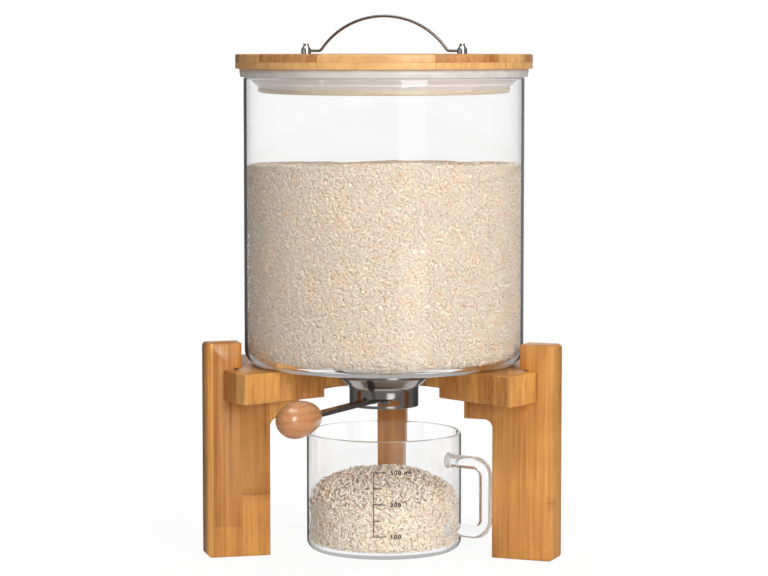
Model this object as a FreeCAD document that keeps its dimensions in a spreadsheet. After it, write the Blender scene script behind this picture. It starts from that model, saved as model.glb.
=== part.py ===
import FreeCAD, Part
import math
import os

import Sketcher

# Glass rice dispenser on a three-legged bamboo stand, with a measuring cup under its outlet.
# Millimetres, +Z up. The origin is on the jar's axis at table level. The front, where the
# stand is cut away for the shutter's lever, faces -Y. Angles are counted from +X about +Z.

SIZES = {
    # Stand
    "shelf_level": (110.7, "underside of the disc above the table"),
    "disc_thickness": (21.0, "disc board"),
    "disc_overhang": (19.5, "disc beyond the jar's wall"),
    "cutout_angle": (90.0, "opening of the front cut-out"),
    "cutout_setback": (14.0, "cut-out's vertex behind the axis"),
    "outlet_gap": (2.5, "outlet flare to the disc's hole"),
    "relief_width": (13.0, "counterbore under the disc, beyond the hole"),
    "relief_depth": (7.2, "counterbore's depth"),
    "leg_thickness": (20.2, "leg board"),
    "leg_height": (150.0, "leg above the table"),
    "leg_spread": (72.0, "front legs either side of the front"),
    "leg_foot_width": (44.4, "leg below its arm, radially"),
    "leg_post_width": (24.4, "leg beside the jar, radially"),
    "leg_arm_length": (20.9, "arm inward of the foot"),
    "leg_arm_depth": (13.8, "arm's height"),
    "leg_arm_fillet": (6.0, "round under the arm"),
    "leg_corner": (3.0, "round on the leg's outer corners"),
    "edge_ease": (0.7, "chamfer on the boards' long edges"),
    "post_gap": (6.1, "jar to the legs' posts"),
    "slot_depth": (8.0, "leg slots in the disc's rim"),
    "slot_play": (0.1, "leg in its slot, each side"),
    "notch_headroom": (0.9, "leg's notch above the disc"),
    # Jar
    "jar_radius": (98.5, "outside"),
    "jar_height": (202.1, "outside"),
    "jar_wall": (2.8, "side wall"),
    "jar_floor": (4.0, "bottom"),
    "jar_corner": (11.0, "round of the outer bottom corner"),
    # Outlet
    "pipe_radius": (22.2, "outside of the threaded outlet pipe"),
    "pipe_wall": (1.4, "outlet pipe"),
    "pipe_play": (1.0, "pipe in the jar's hole"),
    "thread_play": (0.08, "pipe in the collar's thread"),
    "flange_radius": (33.0, "flange on the jar's floor"),
    "flange_thickness": (1.6, "flange on the jar's floor"),
    "gasket_radius": (31.6, "both gaskets"),
    "gasket_thickness": (1.2, "both gaskets"),
    "flare_radius": (32.5, "collar under the jar"),
    "flare_height": (7.8, "collar's full-width rim"),
    "cone_height": (7.0, "collar between rim and skirt"),
    "collar_radius": (24.5, "skirt, outside"),
    "collar_height": (28.5, "collar, overall"),
    "skirt_wall": (1.2, "skirt"),
    "slot_height": (6.0, "lever slot in the skirt"),
    "slot_sill": (2.0, "skirt below the lever slot"),
    "slot_spare": (0.8, "degrees of slot beyond the lever, each end"),
    "lever_rise": (1.9, "lever above the slot's lower edge"),
    "thread_gap": (0.6, "collar's thread above the fixed plate"),
    # Shutter valve
    "window_count": (4, "windows in the plate and in the shutter"),
    "window_angle": (41.0, "each window"),
    "window_inner": (6.5, "windows' inner radius"),
    "window_outer": (19.5, "windows' outer radius"),
    "plate_thickness": (1.6, "fixed plate"),
    "shutter_thickness": (1.6, "turning disc"),
    "valve_gap": (0.2, "plate to shutter"),
    "shutter_play": (0.5, "shutter in the skirt"),
    "pivot_radius": (2.0, "pivot screw's shank"),
    "pivot_play": (0.05, "running fit on the pivot"),
    "pivot_head": (4.4, "pivot screw's head radius"),
    "nut_flats": (7.0, "pivot nut across flats"),
    "nut_height": (3.0, "pivot nut"),
    "nut_gap": (0.3, "lever to the nut"),
    # Lever
    "lever_angle": (247.0, "lever's direction at rest, shutter open"),
    "lever_travel": (45.0, "from open to shut"),
    "lever_length": (104.0, "axis to the bar's end"),
    "lever_width": (7.0, "bar"),
    "lever_hub": (6.6, "half width at the hub"),
    "lever_thickness": (3.0, "bar"),
    "rivet_radius": (1.5, "rivets, lever to shutter"),
    "rivet_reach": (11.0, "inner rivet from the axis"),
    "rivet_pitch": (6.5, "between the rivets"),
    "stud_radius": (2.5, "stud in the knob"),
    "stud_length": (24.0, "stud beyond the bar"),
    "stud_play": (0.05, "stud in the knob's bore"),
    "bore_spare": (0.5, "knob's bore beyond the stud"),
    "knob_gap": (0.2, "bar's end to the knob"),
    "knob_radius": (12.5, "knob's thickest round"),
    "knob_nose": (29.0, "thickest round to the nose's centre"),
    "knob_tail": (17.0, "thickest round to the tail's end"),
    "knob_trim": (1.8, "cut off the nose"),
    # Lid
    "lid_radius": (104.3, "board"),
    "lid_thickness": (10.2, "board"),
    "lid_top_round": (0.9, "board's upper edge"),
    "lid_low_round": (1.8, "board's lower edge"),
    "rim_gap": (0.2, "seal above the jar's rim"),
    "seal_flange": (5.8, "seal's flange, thickness"),
    "seal_lip": (2.8, "seal's flange inside the board's edge"),
    "seal_taper": (0.8, "flange's inward slope"),
    "seal_fit": (0.35, "seal inside the jar's wall"),
    "seal_band": (1.6, "seal's straight band under the flange"),
    "seal_skirt": (9.1, "seal below the rim, down to its bead"),
    "seal_draw": (7.2, "skirt's inward slope"),
    "seal_ring": (4.2, "seal's thickness above its bead"),
    "seal_bead": (2.8, "bead round the seal's lower edge, height"),
    "seal_bead_proud": (0.5, "bead beyond the skirt"),
    # Bail handle
    "post_spacing": (109.6, "between the posts' axes"),
    "post_radius": (3.6, "post's base"),
    "post_neck": (1.7, "post's neck"),
    "post_bead": (0.35, "post's top beyond its neck"),
    "post_draft": (0.1, "post's base narrows by"),
    "post_height": (7.4, "post"),
    "wire_radius": (1.0, "bail"),
    "wire_play": (0.05, "bail in the post's bore"),
    "wire_depth": (1.4, "bail's end beyond the post's axis"),
    "wire_level": (2.3, "pivot above the lid"),
    "bail_span": (89.0, "bail's arc at pivot level"),
    "bail_rise": (24.2, "bail's arc above the pivots"),
    "bail_bend": (3.0, "bend at the bail's feet"),
    "bore_end": (0.3, "post's bore beyond the bail's end"),
    "post_stud": (1.3, "post's threaded stud, radius"),
    "stud_fit": (0.05, "stud in the board and in its nut"),
    "post_nut_flats": (5.0, "post nut across flats"),
    "post_nut_height": (1.8, "post nut"),
    "post_nut_room": (3.1, "nut's counterbore in the board, radius"),
    "post_nut_sink": (2.0, "nut's counterbore in the board, depth"),
    # Cup
    "cup_radius": (54.75, "outside"),
    "cup_height": (83.6, "outside"),
    "cup_wall": (2.4, "side wall"),
    "cup_floor": (3.5, "bottom"),
    "cup_corner": (7.0, "round of the outer bottom corner"),
    "cup_handle_angle": (-30.0, "handle's direction"),
    "cup_rod": (4.5, "handle rod's radius"),
    "cup_reach": (29.75, "handle rod's axis beyond the wall"),
    "cup_handle_low": (18.5, "lower rod's axis above the table"),
    "cup_handle_high": (67.0, "upper rod's axis above the table"),
    "cup_bend": (9.0, "bends of the handle's axis"),
}

doc = FreeCAD.newDocument("RiceDispenser")
sheet = doc.addObject("Spreadsheet::Sheet", "Sizes")


class Size:
    """A number together with the sheet expression that gives it."""

    def __init__(self, value, text=None):
        self.value = float(value)
        self.text = text or repr(float(value))

    def __add__(self, other):
        other = as_size(other)
        return Size(self.value + other.value, f"({self.text} + {other.text})")

    def __sub__(self, other):
        other = as_size(other)
        return Size(self.value - other.value, f"({self.text} - {other.text})")

    def __mul__(self, other):
        other = as_size(other)
        return Size(self.value * other.value, f"({self.text} * {other.text})")

    def __truediv__(self, other):
        other = as_size(other)
        return Size(self.value / other.value, f"({self.text} / {other.text})")

    def __neg__(self):
        return Size(-self.value, f"(0 - {self.text})")


def as_size(number):
    return number if isinstance(number, Size) else Size(number)


def sine(angle):
    return Size(math.sin(math.radians(angle.value)), f"sin({angle.text})")


def cosine(angle):
    return Size(math.cos(math.radians(angle.value)), f"cos({angle.text})")


def tangent(angle):
    return Size(math.tan(math.radians(angle.value)), f"tan({angle.text})")


def root(size):
    return Size(math.sqrt(size.value), f"sqrt({size.text})")


def fill_sheet():
    """Write each size to the sheet and return them by name."""
    sizes = {}
    for row, (name, (value, note)) in enumerate(SIZES.items(), start=1):
        sheet.set(f"A{row}", name)
        sheet.set(f"B{row}", str(value))
        sheet.set(f"C{row}", note)
        sheet.setAlias(f"B{row}", name)
        sizes[name] = Size(value, f"Sizes.{name}")
    doc.recompute()
    return sizes


# ---- Sketch and feature helpers -------------------------------------------------------------


def new_body(name, level=None, turn=None):
    """A body with its own label, raised to a level and turned about the jar's axis."""
    body = doc.addObject("PartDesign::Body", name)
    body.Label = name
    if level is not None:
        body.setExpression(".Placement.Base.z", as_size(level).text)
    if turn is not None:
        body.setExpression(".Placement.Rotation.Angle", as_size(turn).text)
    return body


def origin_feature(body, role):
    return next(f for f in body.Origin.OriginFeatures if f.Role == role)


def new_sketch(body, role, offset=None, turn=None):
    """A sketch on one of the body's origin planes, moved along its normal and turned on it."""
    sketch = body.newObject("Sketcher::SketchObject", f"{body.Name}_sketch")
    sketch.AttachmentSupport = (origin_feature(body, role), [""])
    sketch.MapMode = "FlatFace"
    if offset is not None:
        sketch.setExpression(".AttachmentOffset.Base.z", as_size(offset).text)
    if turn is not None:
        sketch.setExpression(".AttachmentOffset.Rotation.Angle", as_size(turn).text)
    return sketch


def point(x, y):
    return FreeCAD.Vector(x, y, 0)


def constrain(sketch, kind, *where, size=None):
    """Add one constraint, and tie its value to the sheet."""
    if size is None:
        sketch.addConstraint(Sketcher.Constraint(kind, *where))
        return
    index = sketch.addConstraint(Sketcher.Constraint(kind, *where, size.value))
    sketch.setExpression(f"Constraints[{index}]", size.text)


def fix_point(sketch, item, end, x, y):
    """Hold a point at x, y. A plain 0 lies on the sketch's own axis."""
    if x == 0 and y == 0:
        constrain(sketch, "Coincident", item, end, -1, 1)
        return
    if x == 0:
        constrain(sketch, "PointOnObject", item, end, -2)
    else:
        constrain(sketch, "DistanceX", item, end, size=as_size(x))
    if y == 0:
        constrain(sketch, "PointOnObject", item, end, -1)
    else:
        constrain(sketch, "DistanceY", item, end, size=as_size(y))


def draw_outline(sketch, corners, closed=True):
    """Straight edges through the corners (x, y) or (x, y, radius), rounded where a radius is given."""
    spots = [point(as_size(c[0]).value, as_size(c[1]).value) for c in corners]
    count = len(corners)
    starts = list(spots)
    ends = list(spots)
    rounds = {}
    for i, corner in enumerate(corners):
        if len(corner) < 3:
            continue
        back = (spots[i - 1] - spots[i]).normalize()
        ahead = (spots[(i + 1) % count] - spots[i]).normalize()
        half = back.getAngle(ahead) / 2
        radius = as_size(corner[2])
        reach = radius.value / math.tan(half)
        middle = (back + ahead).normalize() * (radius.value / math.sin(half)) + spots[i]
        starts[i] = spots[i] + back * reach
        ends[i] = spots[i] + ahead * reach
        rounds[i] = (radius, middle, back.cross(ahead).z < 0)
    edges = []
    for i in range(count if closed else count - 1):
        line = Part.LineSegment(ends[i], starts[(i + 1) % count])
        edges.append(sketch.addGeometry(line, False))
    for i, corner in enumerate(corners):
        if i in rounds:
            round_corner(sketch, corner, spots[i], starts[i], ends[i], rounds[i], edges[i - 1], edges[i])
        elif closed or 0 < i < count - 1:
            constrain(sketch, "Coincident", edges[i - 1], 2, edges[i], 1)
            fix_point(sketch, edges[i], 1, corner[0], corner[1])
        elif i == 0:
            fix_point(sketch, edges[0], 1, corner[0], corner[1])
        else:
            fix_point(sketch, edges[-1], 2, corner[0], corner[1])


def round_corner(sketch, corner, spot, start, end, bend, before, after):
    """An arc tangent to the edges before and after a corner, which a point marks."""
    radius, middle, left_turn = bend
    first, last = (start, end) if left_turn else (end, start)
    angles = [math.atan2(p.y - middle.y, p.x - middle.x) for p in (first, last)]
    circle = Part.Circle(middle, FreeCAD.Vector(0, 0, 1), radius.value)
    arc = sketch.addGeometry(Part.ArcOfCircle(circle, angles[0], angles[1]), False)
    mark = sketch.addGeometry(Part.Point(spot), True)
    first_end, last_end = (1, 2) if left_turn else (2, 1)
    constrain(sketch, "Tangent", before, 2, arc, first_end)
    constrain(sketch, "Tangent", arc, last_end, after, 1)
    constrain(sketch, "Radius", arc, size=radius)
    fix_point(sketch, mark, 1, corner[0], corner[1])
    constrain(sketch, "PointOnObject", mark, 1, before)
    constrain(sketch, "PointOnObject", mark, 1, after)


def draw_circle(sketch, x, y, radius):
    x, y = (as_size(n) if n != 0 else 0 for n in (x, y))
    centre = point(as_size(x).value, as_size(y).value)
    circle = Part.Circle(centre, FreeCAD.Vector(0, 0, 1), radius.value)
    item = sketch.addGeometry(circle, False)
    fix_point(sketch, item, 3, x, y)
    constrain(sketch, "Radius", item, size=radius)


def draw_hexagon(sketch, x, flats):
    """A nut's outline about a point on the sketch's X axis."""
    radius = flats / 2 / cosine(as_size(30))
    turns = [as_size(60 * i + 30) for i in range(6)]
    draw_outline(sketch, [(x + radius * cosine(a), radius * sine(a)) for a in turns])


def draw_axis(sketch, x, low, high):
    """An upright construction line to turn a profile about."""
    spots = [point(x.value, as_size(y).value) for y in (low, high)]
    line = sketch.addGeometry(Part.LineSegment(*spots), True)
    fix_point(sketch, line, 1, x, low)
    fix_point(sketch, line, 2, x, high)


def draw_window(sketch, inner, outer, angle):
    """A sector of a ring, half the angle either side of the sketch's X axis."""
    half = math.radians(angle.value / 2)
    axis = FreeCAD.Vector(0, 0, 1)
    arcs = []
    for radius in (inner, outer):
        circle = Part.Circle(point(0, 0), axis, radius.value)
        arcs.append(sketch.addGeometry(Part.ArcOfCircle(circle, -half, half), False))
        constrain(sketch, "Coincident", arcs[-1], 3, -1, 1)
        constrain(sketch, "Radius", arcs[-1], size=radius)
    for side, end in ((-1, 1), (1, 2)):
        places = [(r.value * math.cos(half), side * r.value * math.sin(half)) for r in (inner, outer)]
        edge = sketch.addGeometry(Part.LineSegment(point(*places[0]), point(*places[1])), False)
        constrain(sketch, "Coincident", edge, 1, arcs[0], end)
        constrain(sketch, "Coincident", edge, 2, arcs[1], end)
        height = outer * sine(angle / 2) * side
        constrain(sketch, "DistanceY", edge, 2, size=height)
        constrain(sketch, "PointOnObject", -1, 1, edge)


def revolve(body, sketch, axis="V_Axis"):
    feature = body.newObject("PartDesign::Revolution", f"{body.Name}_turned")
    feature.Profile = sketch
    feature.ReferenceAxis = (sketch, [axis])
    feature.Angle = 360
    return feature


def pad(body, sketch, length, symmetric=False):
    feature = body.newObject("PartDesign::Pad", f"{body.Name}_pad")
    feature.Profile = sketch
    feature.setExpression("Length", as_size(length).text)
    if symmetric:
        feature.SideType = "Symmetric"
    return feature


def pocket(body, sketch, depth=None, upward=False):
    """Cut along the sketch's normal: right through, or to a depth down or up from the sketch."""
    feature = body.newObject("PartDesign::Pocket", f"{body.Name}_pocket")
    feature.Profile = sketch
    feature.Reversed = upward
    if depth is None:
        feature.Type = "ThroughAll"
        feature.Midplane = True
    else:
        feature.setExpression("Length", as_size(depth).text)
    return feature


def turned_body(name, corners, level=None, turn=None):
    """A body turned about its own Z axis from corners given as radius, height."""
    body = new_body(name, level, turn)
    sketch = new_sketch(body, "XZ_Plane")
    draw_outline(sketch, corners)
    revolve(body, sketch)
    return body


def around(body, feature, count):
    """Repeat a feature evenly about the body's Z axis."""
    pattern = body.newObject("PartDesign::PolarPattern", f"{body.Name}_pattern")
    pattern.Originals = [feature]
    pattern.Axis = (origin_feature(body, "Z_Axis"), [""])
    pattern.Angle = 360
    pattern.setExpression("Occurrences", count.text)
    body.Tip = pattern
    return pattern


def pipe(body, spine, profile):
    feature = body.newObject("PartDesign::AdditivePipe", f"{body.Name}_pipe")
    feature.Profile = profile
    feature.Spine = spine
    feature.Transition = "Transformed"
    return feature


def ease_long_edges(body, feature, size):
    """Chamfer the outline of both broad faces, which lie square to the body's thickness."""
    doc.recompute()
    faces = feature.Shape.Faces
    broad = sorted(range(len(faces)), key=lambda i: -faces[i].Area)[:2]
    chamfer = body.newObject("PartDesign::Chamfer", f"{body.Name}_eased")
    chamfer.Base = (feature, [f"Face{i + 1}" for i in broad])
    chamfer.setExpression("Size", size.text)
    return chamfer


# ---- Levels and radii that several pieces share ---------------------------------------------

s = fill_sheet()
post_inner = s["jar_radius"] + s["post_gap"]
leg_reach = post_inner + s["leg_post_width"]
foot_inner = leg_reach - s["leg_foot_width"]
disc_radius = s["jar_radius"] + s["disc_overhang"]
slot_end = disc_radius - s["slot_depth"]
hole_radius = s["flare_radius"] + s["outlet_gap"]
jar_level = s["shelf_level"] + s["disc_thickness"]
jar_inner = s["jar_radius"] - s["jar_wall"]
jar_hole = s["pipe_radius"] + s["pipe_play"]
rim_level = jar_level + s["jar_height"]
collar_top = jar_level - s["gasket_thickness"]
collar_bottom = collar_top - s["collar_height"]
skirt_inner = s["collar_radius"] - s["skirt_wall"]
slot_bottom = collar_bottom + s["slot_sill"]
lever_level = slot_bottom + s["lever_rise"]
shutter_level = lever_level + s["lever_thickness"]
plate_level = shutter_level + s["shutter_thickness"] + s["valve_gap"]
pipe_end = plate_level + s["plate_thickness"]
flange_level = jar_level + s["jar_floor"] + s["gasket_thickness"]
pivot_bore = s["pivot_radius"] + s["pivot_play"]
nut_level = lever_level - s["nut_gap"] - s["nut_height"]
seal_level = rim_level + s["rim_gap"]
lid_level = seal_level + s["seal_flange"]
lid_top = lid_level + s["lid_thickness"]
seal_radius = jar_inner - s["seal_fit"]
seal_foot = seal_radius - s["seal_draw"]
plug_radius = seal_foot - s["seal_ring"]
post_place = s["post_spacing"] / 2


# ---- Stand ----------------------------------------------------------------------------------


def make_disc():
    """A round board with a V cut out of its front and a slot in its rim for each leg."""
    body = new_body("stand_disc", s["shelf_level"])
    blank = new_sketch(body, "XY_Plane")
    draw_circle(blank, 0, 0, disc_radius)
    pad(body, blank, s["disc_thickness"])
    hole = new_sketch(body, "XY_Plane")
    draw_circle(hole, 0, 0, hole_radius)
    pocket(body, hole)
    cutout = new_sketch(body, "XY_Plane")
    far = disc_radius * 2
    low = s["cutout_setback"] - far * cosine(s["cutout_angle"] / 2)
    side = far * sine(s["cutout_angle"] / 2)
    draw_outline(cutout, [(0, s["cutout_setback"]), (-side, low), (side, low)])
    feature = pocket(body, cutout)
    ease_long_edges(body, feature, s["edge_ease"])
    relief = new_sketch(body, "XY_Plane")
    draw_circle(relief, 0, 0, hole_radius + s["relief_width"])
    pocket(body, relief, s["relief_depth"], upward=True)
    half = s["leg_thickness"] / 2 + s["slot_play"]
    for direction in leg_directions().values():
        slot = new_sketch(body, "XY_Plane", turn=direction)
        outside = disc_radius + s["slot_depth"]
        draw_outline(slot, [(slot_end, -half), (outside, -half), (outside, half), (slot_end, half)])
        pocket(body, slot)


def leg_directions():
    """Each leg's direction about the jar's axis."""
    return {
        "leg_left": as_size(270) - s["leg_spread"],
        "leg_right": as_size(270) + s["leg_spread"],
        "leg_back": as_size(90),
    }


def make_leg(name, direction):
    """A board standing in a radial plane, notched for the disc, with an arm that carries it."""
    body = new_body(name, turn=direction)
    sketch = new_sketch(body, "XZ_Plane")
    notch_end = slot_end + s["slot_play"]
    notch_top = jar_level + s["notch_headroom"]
    arm_end = foot_inner - s["leg_arm_length"]
    arm_low = s["shelf_level"] - s["leg_arm_depth"]
    corners = [
        (foot_inner, 0),
        (leg_reach, 0, s["leg_corner"]),
        (leg_reach, s["leg_height"], s["leg_corner"]),
        (post_inner, s["leg_height"]),
        (post_inner, notch_top),
        (notch_end, notch_top),
        (notch_end, s["shelf_level"]),
        (arm_end, s["shelf_level"]),
        (arm_end, arm_low),
        (foot_inner, arm_low, s["leg_arm_fillet"]),
    ]
    draw_outline(sketch, corners)
    feature = pad(body, sketch, s["leg_thickness"], symmetric=True)
    ease_long_edges(body, feature, s["edge_ease"])


# ---- Jar and outlet -------------------------------------------------------------------------


def make_jar():
    """A straight glass jar with rounded rim and corner, and a hole in its floor."""
    rim = s["jar_wall"] * 0.45
    corners = [
        (jar_hole, 0),
        (s["jar_radius"], 0, s["jar_corner"]),
        (s["jar_radius"], s["jar_height"], rim),
        (jar_inner, s["jar_height"], rim),
        (jar_inner, s["jar_floor"], s["jar_corner"] - s["jar_wall"]),
        (jar_hole, s["jar_floor"]),
    ]
    turned_body("jar_glass", corners, jar_level)


def make_gasket(name, level):
    inner = jar_hole
    thick = s["gasket_thickness"]
    corners = [(inner, 0), (s["gasket_radius"], 0), (s["gasket_radius"], thick), (inner, thick)]
    turned_body(name, corners, level)


def make_funnel():
    """The flanged pipe that hangs in the jar's hole, with a lead-in that guides the rice."""
    bore = s["pipe_radius"] - s["pipe_wall"]
    flange = flange_level - pipe_end
    top = flange + s["flange_thickness"]
    corners = [
        (bore, 0),
        (s["pipe_radius"], 0),
        (s["pipe_radius"], flange),
        (s["flange_radius"], flange),
        (s["flange_radius"], top, s["flange_thickness"] * 0.4),
        (bore, top, s["flange_thickness"]),
    ]
    turned_body("outlet_funnel", corners, pipe_end)


def make_collar():
    """The ring nut under the jar: a rim, a cone and a skirt that hides the shutter."""
    thread = s["pipe_radius"] + s["thread_play"]
    rim_low = s["collar_height"] - s["flare_height"]
    skirt_top = rim_low - s["cone_height"]
    seat = pipe_end - collar_bottom + s["thread_gap"]
    corners = [
        (skirt_inner, 0),
        (s["collar_radius"], 0),
        (s["collar_radius"], skirt_top, s["cone_height"] * 0.8),
        (s["flare_radius"], rim_low, s["cone_height"] * 0.35),
        (s["flare_radius"], s["collar_height"]),
        (thread, s["collar_height"]),
        (thread, seat),
        (skirt_inner, seat),
    ]
    body = turned_body("outlet_collar", corners, collar_bottom)
    sweep = lever_sweep()
    slot = new_sketch(body, "XY_Plane", s["slot_sill"] + s["slot_height"], sweep["middle"])
    far = s["collar_radius"] * 1.2
    side = far * tangent(sweep["half"])
    draw_outline(slot, [(0, 0), (far, -side), (far, side)])
    pocket(body, slot, s["slot_height"])


def lever_sweep():
    """The middle direction of the lever's slot, and half of its angle, bar and spare included."""
    bar = s["lever_width"] / 2 / skirt_inner * (180 / math.pi)
    return {
        "middle": s["lever_angle"] + s["lever_travel"] / 2,
        "half": s["lever_travel"] / 2 + bar + s["slot_spare"],
    }


# ---- Shutter valve and lever ----------------------------------------------------------------


def make_windowed_disc(name, level, radius, thickness, bore):
    """A disc with a central bore and evenly spaced windows, the first half a pitch off the lever."""
    pitch = as_size(360) / s["window_count"]
    body = new_body(name, level, s["lever_angle"] + pitch / 2)
    blank = new_sketch(body, "XY_Plane")
    draw_circle(blank, 0, 0, radius)
    draw_circle(blank, 0, 0, bore)
    pad(body, blank, thickness)
    window = new_sketch(body, "XY_Plane")
    draw_window(window, s["window_inner"], s["window_outer"], s["window_angle"])
    around(body, pocket(body, window), s["window_count"])
    return body


def make_shutter():
    """The turning disc, with holes for the lever's rivets in the web between two windows."""
    pitch = as_size(360) / s["window_count"]
    radius = skirt_inner - s["shutter_play"]
    body = make_windowed_disc("shutter_disc", shutter_level, radius, s["shutter_thickness"], pivot_bore)
    holes = new_sketch(body, "XY_Plane", turn=-(pitch / 2))
    for place in rivet_places():
        draw_circle(holes, place, 0, s["rivet_radius"])
    pocket(body, holes)


def rivet_places():
    return [s["rivet_reach"], s["rivet_reach"] + s["rivet_pitch"]]


def make_lever():
    """A flat bar, wide at its hub, under the shutter and out through the collar's slot."""
    body = new_body("lever_arm", lever_level, s["lever_angle"])
    sketch = new_sketch(body, "XY_Plane")
    hub = s["lever_hub"]
    half = s["lever_width"] / 2
    neck = s["rivet_reach"] + s["rivet_pitch"]
    corners = [
        (-hub, -hub, hub * 0.95),
        (hub, -hub, hub * 0.4),
        (neck, -half, hub),
        (s["lever_length"], -half),
        (s["lever_length"], half),
        (neck, half, hub),
        (hub, hub, hub * 0.4),
        (-hub, hub, hub * 0.95),
    ]
    draw_outline(sketch, corners)
    draw_circle(sketch, 0, 0, pivot_bore)
    for place in rivet_places():
        draw_circle(sketch, place, 0, s["rivet_radius"])
    pad(body, sketch, s["lever_thickness"])


def make_rivets():
    """Two round-headed rivets through the lever and the shutter, flush on top."""
    body = new_body("lever_rivets", lever_level, s["lever_angle"])
    body.AllowCompound = True
    head = s["rivet_radius"] * 1.8
    rise = s["rivet_radius"] * 0.7
    length = s["lever_thickness"] + s["shutter_thickness"]
    for place in rivet_places():
        sketch = new_sketch(body, "XZ_Plane")
        corners = [
            (place, -rise),
            (place + head, -rise, rise * 0.8),
            (place + head, 0),
            (place + s["rivet_radius"], 0),
            (place + s["rivet_radius"], length),
            (place, length),
        ]
        draw_outline(sketch, corners)
        draw_axis(sketch, place, -rise, length)
        revolve(body, sketch, axis="Axis0")


def make_pivot():
    """The screw through the fixed plate on which the shutter turns, and its nut."""
    top = pipe_end
    head = s["pivot_head"]
    dome = head * 0.45
    shank = nut_level - top
    corners = [
        (0, shank),
        (s["pivot_radius"], shank),
        (s["pivot_radius"], 0),
        (head, 0),
        (head, dome, dome * 0.9),
        (0, dome),
    ]
    turned_body("pivot_screw", corners, top)
    body = new_body("pivot_nut", nut_level)
    sketch = new_sketch(body, "XY_Plane")
    draw_hexagon(sketch, as_size(0), s["nut_flats"])
    draw_circle(sketch, 0, 0, pivot_bore)
    pad(body, sketch, s["nut_height"])


def make_knob():
    """An egg of two half ellipsoids, nose to the lever, bored for the stud that holds it."""
    start = s["lever_length"]
    halves = []
    for name, reach, low, high in (("nose", s["knob_nose"], -90, 0), ("tail", s["knob_tail"], 0, 90)):
        half = doc.addObject("Part::Ellipsoid", f"knob_{name}")
        half.setExpression("Radius1", reach.text)
        half.setExpression("Radius2", s["knob_radius"].text)
        half.setExpression("Radius3", s["knob_radius"].text)
        half.Angle1 = low
        half.Angle2 = high
        half.setExpression(".Placement.Base.z", s["knob_nose"].text)
        halves.append(half)
    egg = doc.addObject("Part::Fuse", "knob_egg")
    egg.Base, egg.Tool = halves
    trim = doc.addObject("Part::Box", "knob_trim_cut")
    trim.setExpression("Height", s["knob_trim"].text)
    for side in ("Length", "Width"):
        trim.setExpression(side, (s["knob_radius"] * 2).text)
    trim.setExpression(".Placement.Base.x", (-s["knob_radius"]).text)
    trim.setExpression(".Placement.Base.y", (-s["knob_radius"]).text)
    bore = doc.addObject("Part::Cylinder", "knob_bore")
    bore.setExpression("Radius", (s["stud_radius"] + s["stud_play"]).text)
    bore.setExpression("Height", (s["stud_length"] + s["knob_trim"] + s["bore_spare"]).text)
    blank = doc.addObject("Part::Cut", "knob_blank")
    blank.Base, blank.Tool = egg, trim
    knob = doc.addObject("Part::Cut", "lever_knob")
    knob.Base, knob.Tool = blank, bore
    knob.Label = "lever_knob"
    lay_along_lever(knob, start - s["knob_trim"] + s["knob_gap"])
    corners = [
        (0, 0),
        (s["stud_radius"], 0),
        (s["stud_radius"], s["stud_length"], s["stud_radius"] * 0.3),
        (0, s["stud_length"]),
    ]
    stud = turned_body("knob_stud", corners)
    lay_along_lever(stud, start)


def lay_along_lever(piece, reach):
    """Turn a piece made along +Z to lie along the lever at mid-thickness, from a reach outward."""
    middle = lever_level + s["lever_thickness"] / 2
    piece.Placement = FreeCAD.Placement(
        FreeCAD.Vector(0, 0, 0), FreeCAD.Rotation(s["lever_angle"].value, 90, 0)
    )
    piece.setExpression(".Placement.Base.x", (reach * cosine(s["lever_angle"])).text)
    piece.setExpression(".Placement.Base.y", (reach * sine(s["lever_angle"])).text)
    piece.setExpression(".Placement.Base.z", middle.text)


# ---- Lid and bail handle --------------------------------------------------------------------


def make_lid():
    """A round board, with counterbored holes for the posts' studs and nuts."""
    corners = [
        (0, 0),
        (s["lid_radius"], 0, s["lid_low_round"]),
        (s["lid_radius"], s["lid_thickness"], s["lid_top_round"]),
        (0, s["lid_thickness"]),
    ]
    body = turned_body("lid_board", corners, lid_level)
    holes = new_sketch(body, "XY_Plane")
    sinks = new_sketch(body, "XY_Plane")
    for side in (-1, 1):
        draw_circle(holes, post_place * side, 0, s["post_stud"] + s["stud_fit"])
        draw_circle(sinks, post_place * side, 0, s["post_nut_room"])
    pocket(body, holes)
    pocket(body, sinks, s["post_nut_sink"], upward=True)


def make_plug():
    """The plug board under the lid, which the seal is stretched round."""
    depth = lid_level - seal_level + s["seal_skirt"] + s["seal_bead"]
    corners = [
        (0, 0),
        (plug_radius, 0, s["seal_bead"] * 0.3),
        (plug_radius, depth),
        (0, depth),
    ]
    turned_body("lid_plug", corners, lid_level - depth)


def make_seal():
    """The silicone ring: a flange on the jar's rim, a skirt that narrows into the jar and a bead."""
    flange = s["lid_radius"] - s["seal_lip"]
    bead = seal_foot + s["seal_bead_proud"]
    low = -(s["seal_skirt"] + s["seal_bead"])
    corners = [
        (plug_radius + s["wire_play"], low),
        (bead, low, s["seal_bead"] * 0.35),
        (bead, -s["seal_skirt"], s["seal_bead_proud"] * 0.5),
        (seal_foot, -s["seal_skirt"]),
        (seal_radius, -s["seal_band"]),
        (seal_radius, 0),
        (flange - s["seal_taper"], 0, s["seal_flange"] * 0.1),
        (flange, s["seal_flange"]),
        (plug_radius + s["wire_play"], s["seal_flange"]),
    ]
    turned_body("lid_seal", corners, seal_level)


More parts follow.
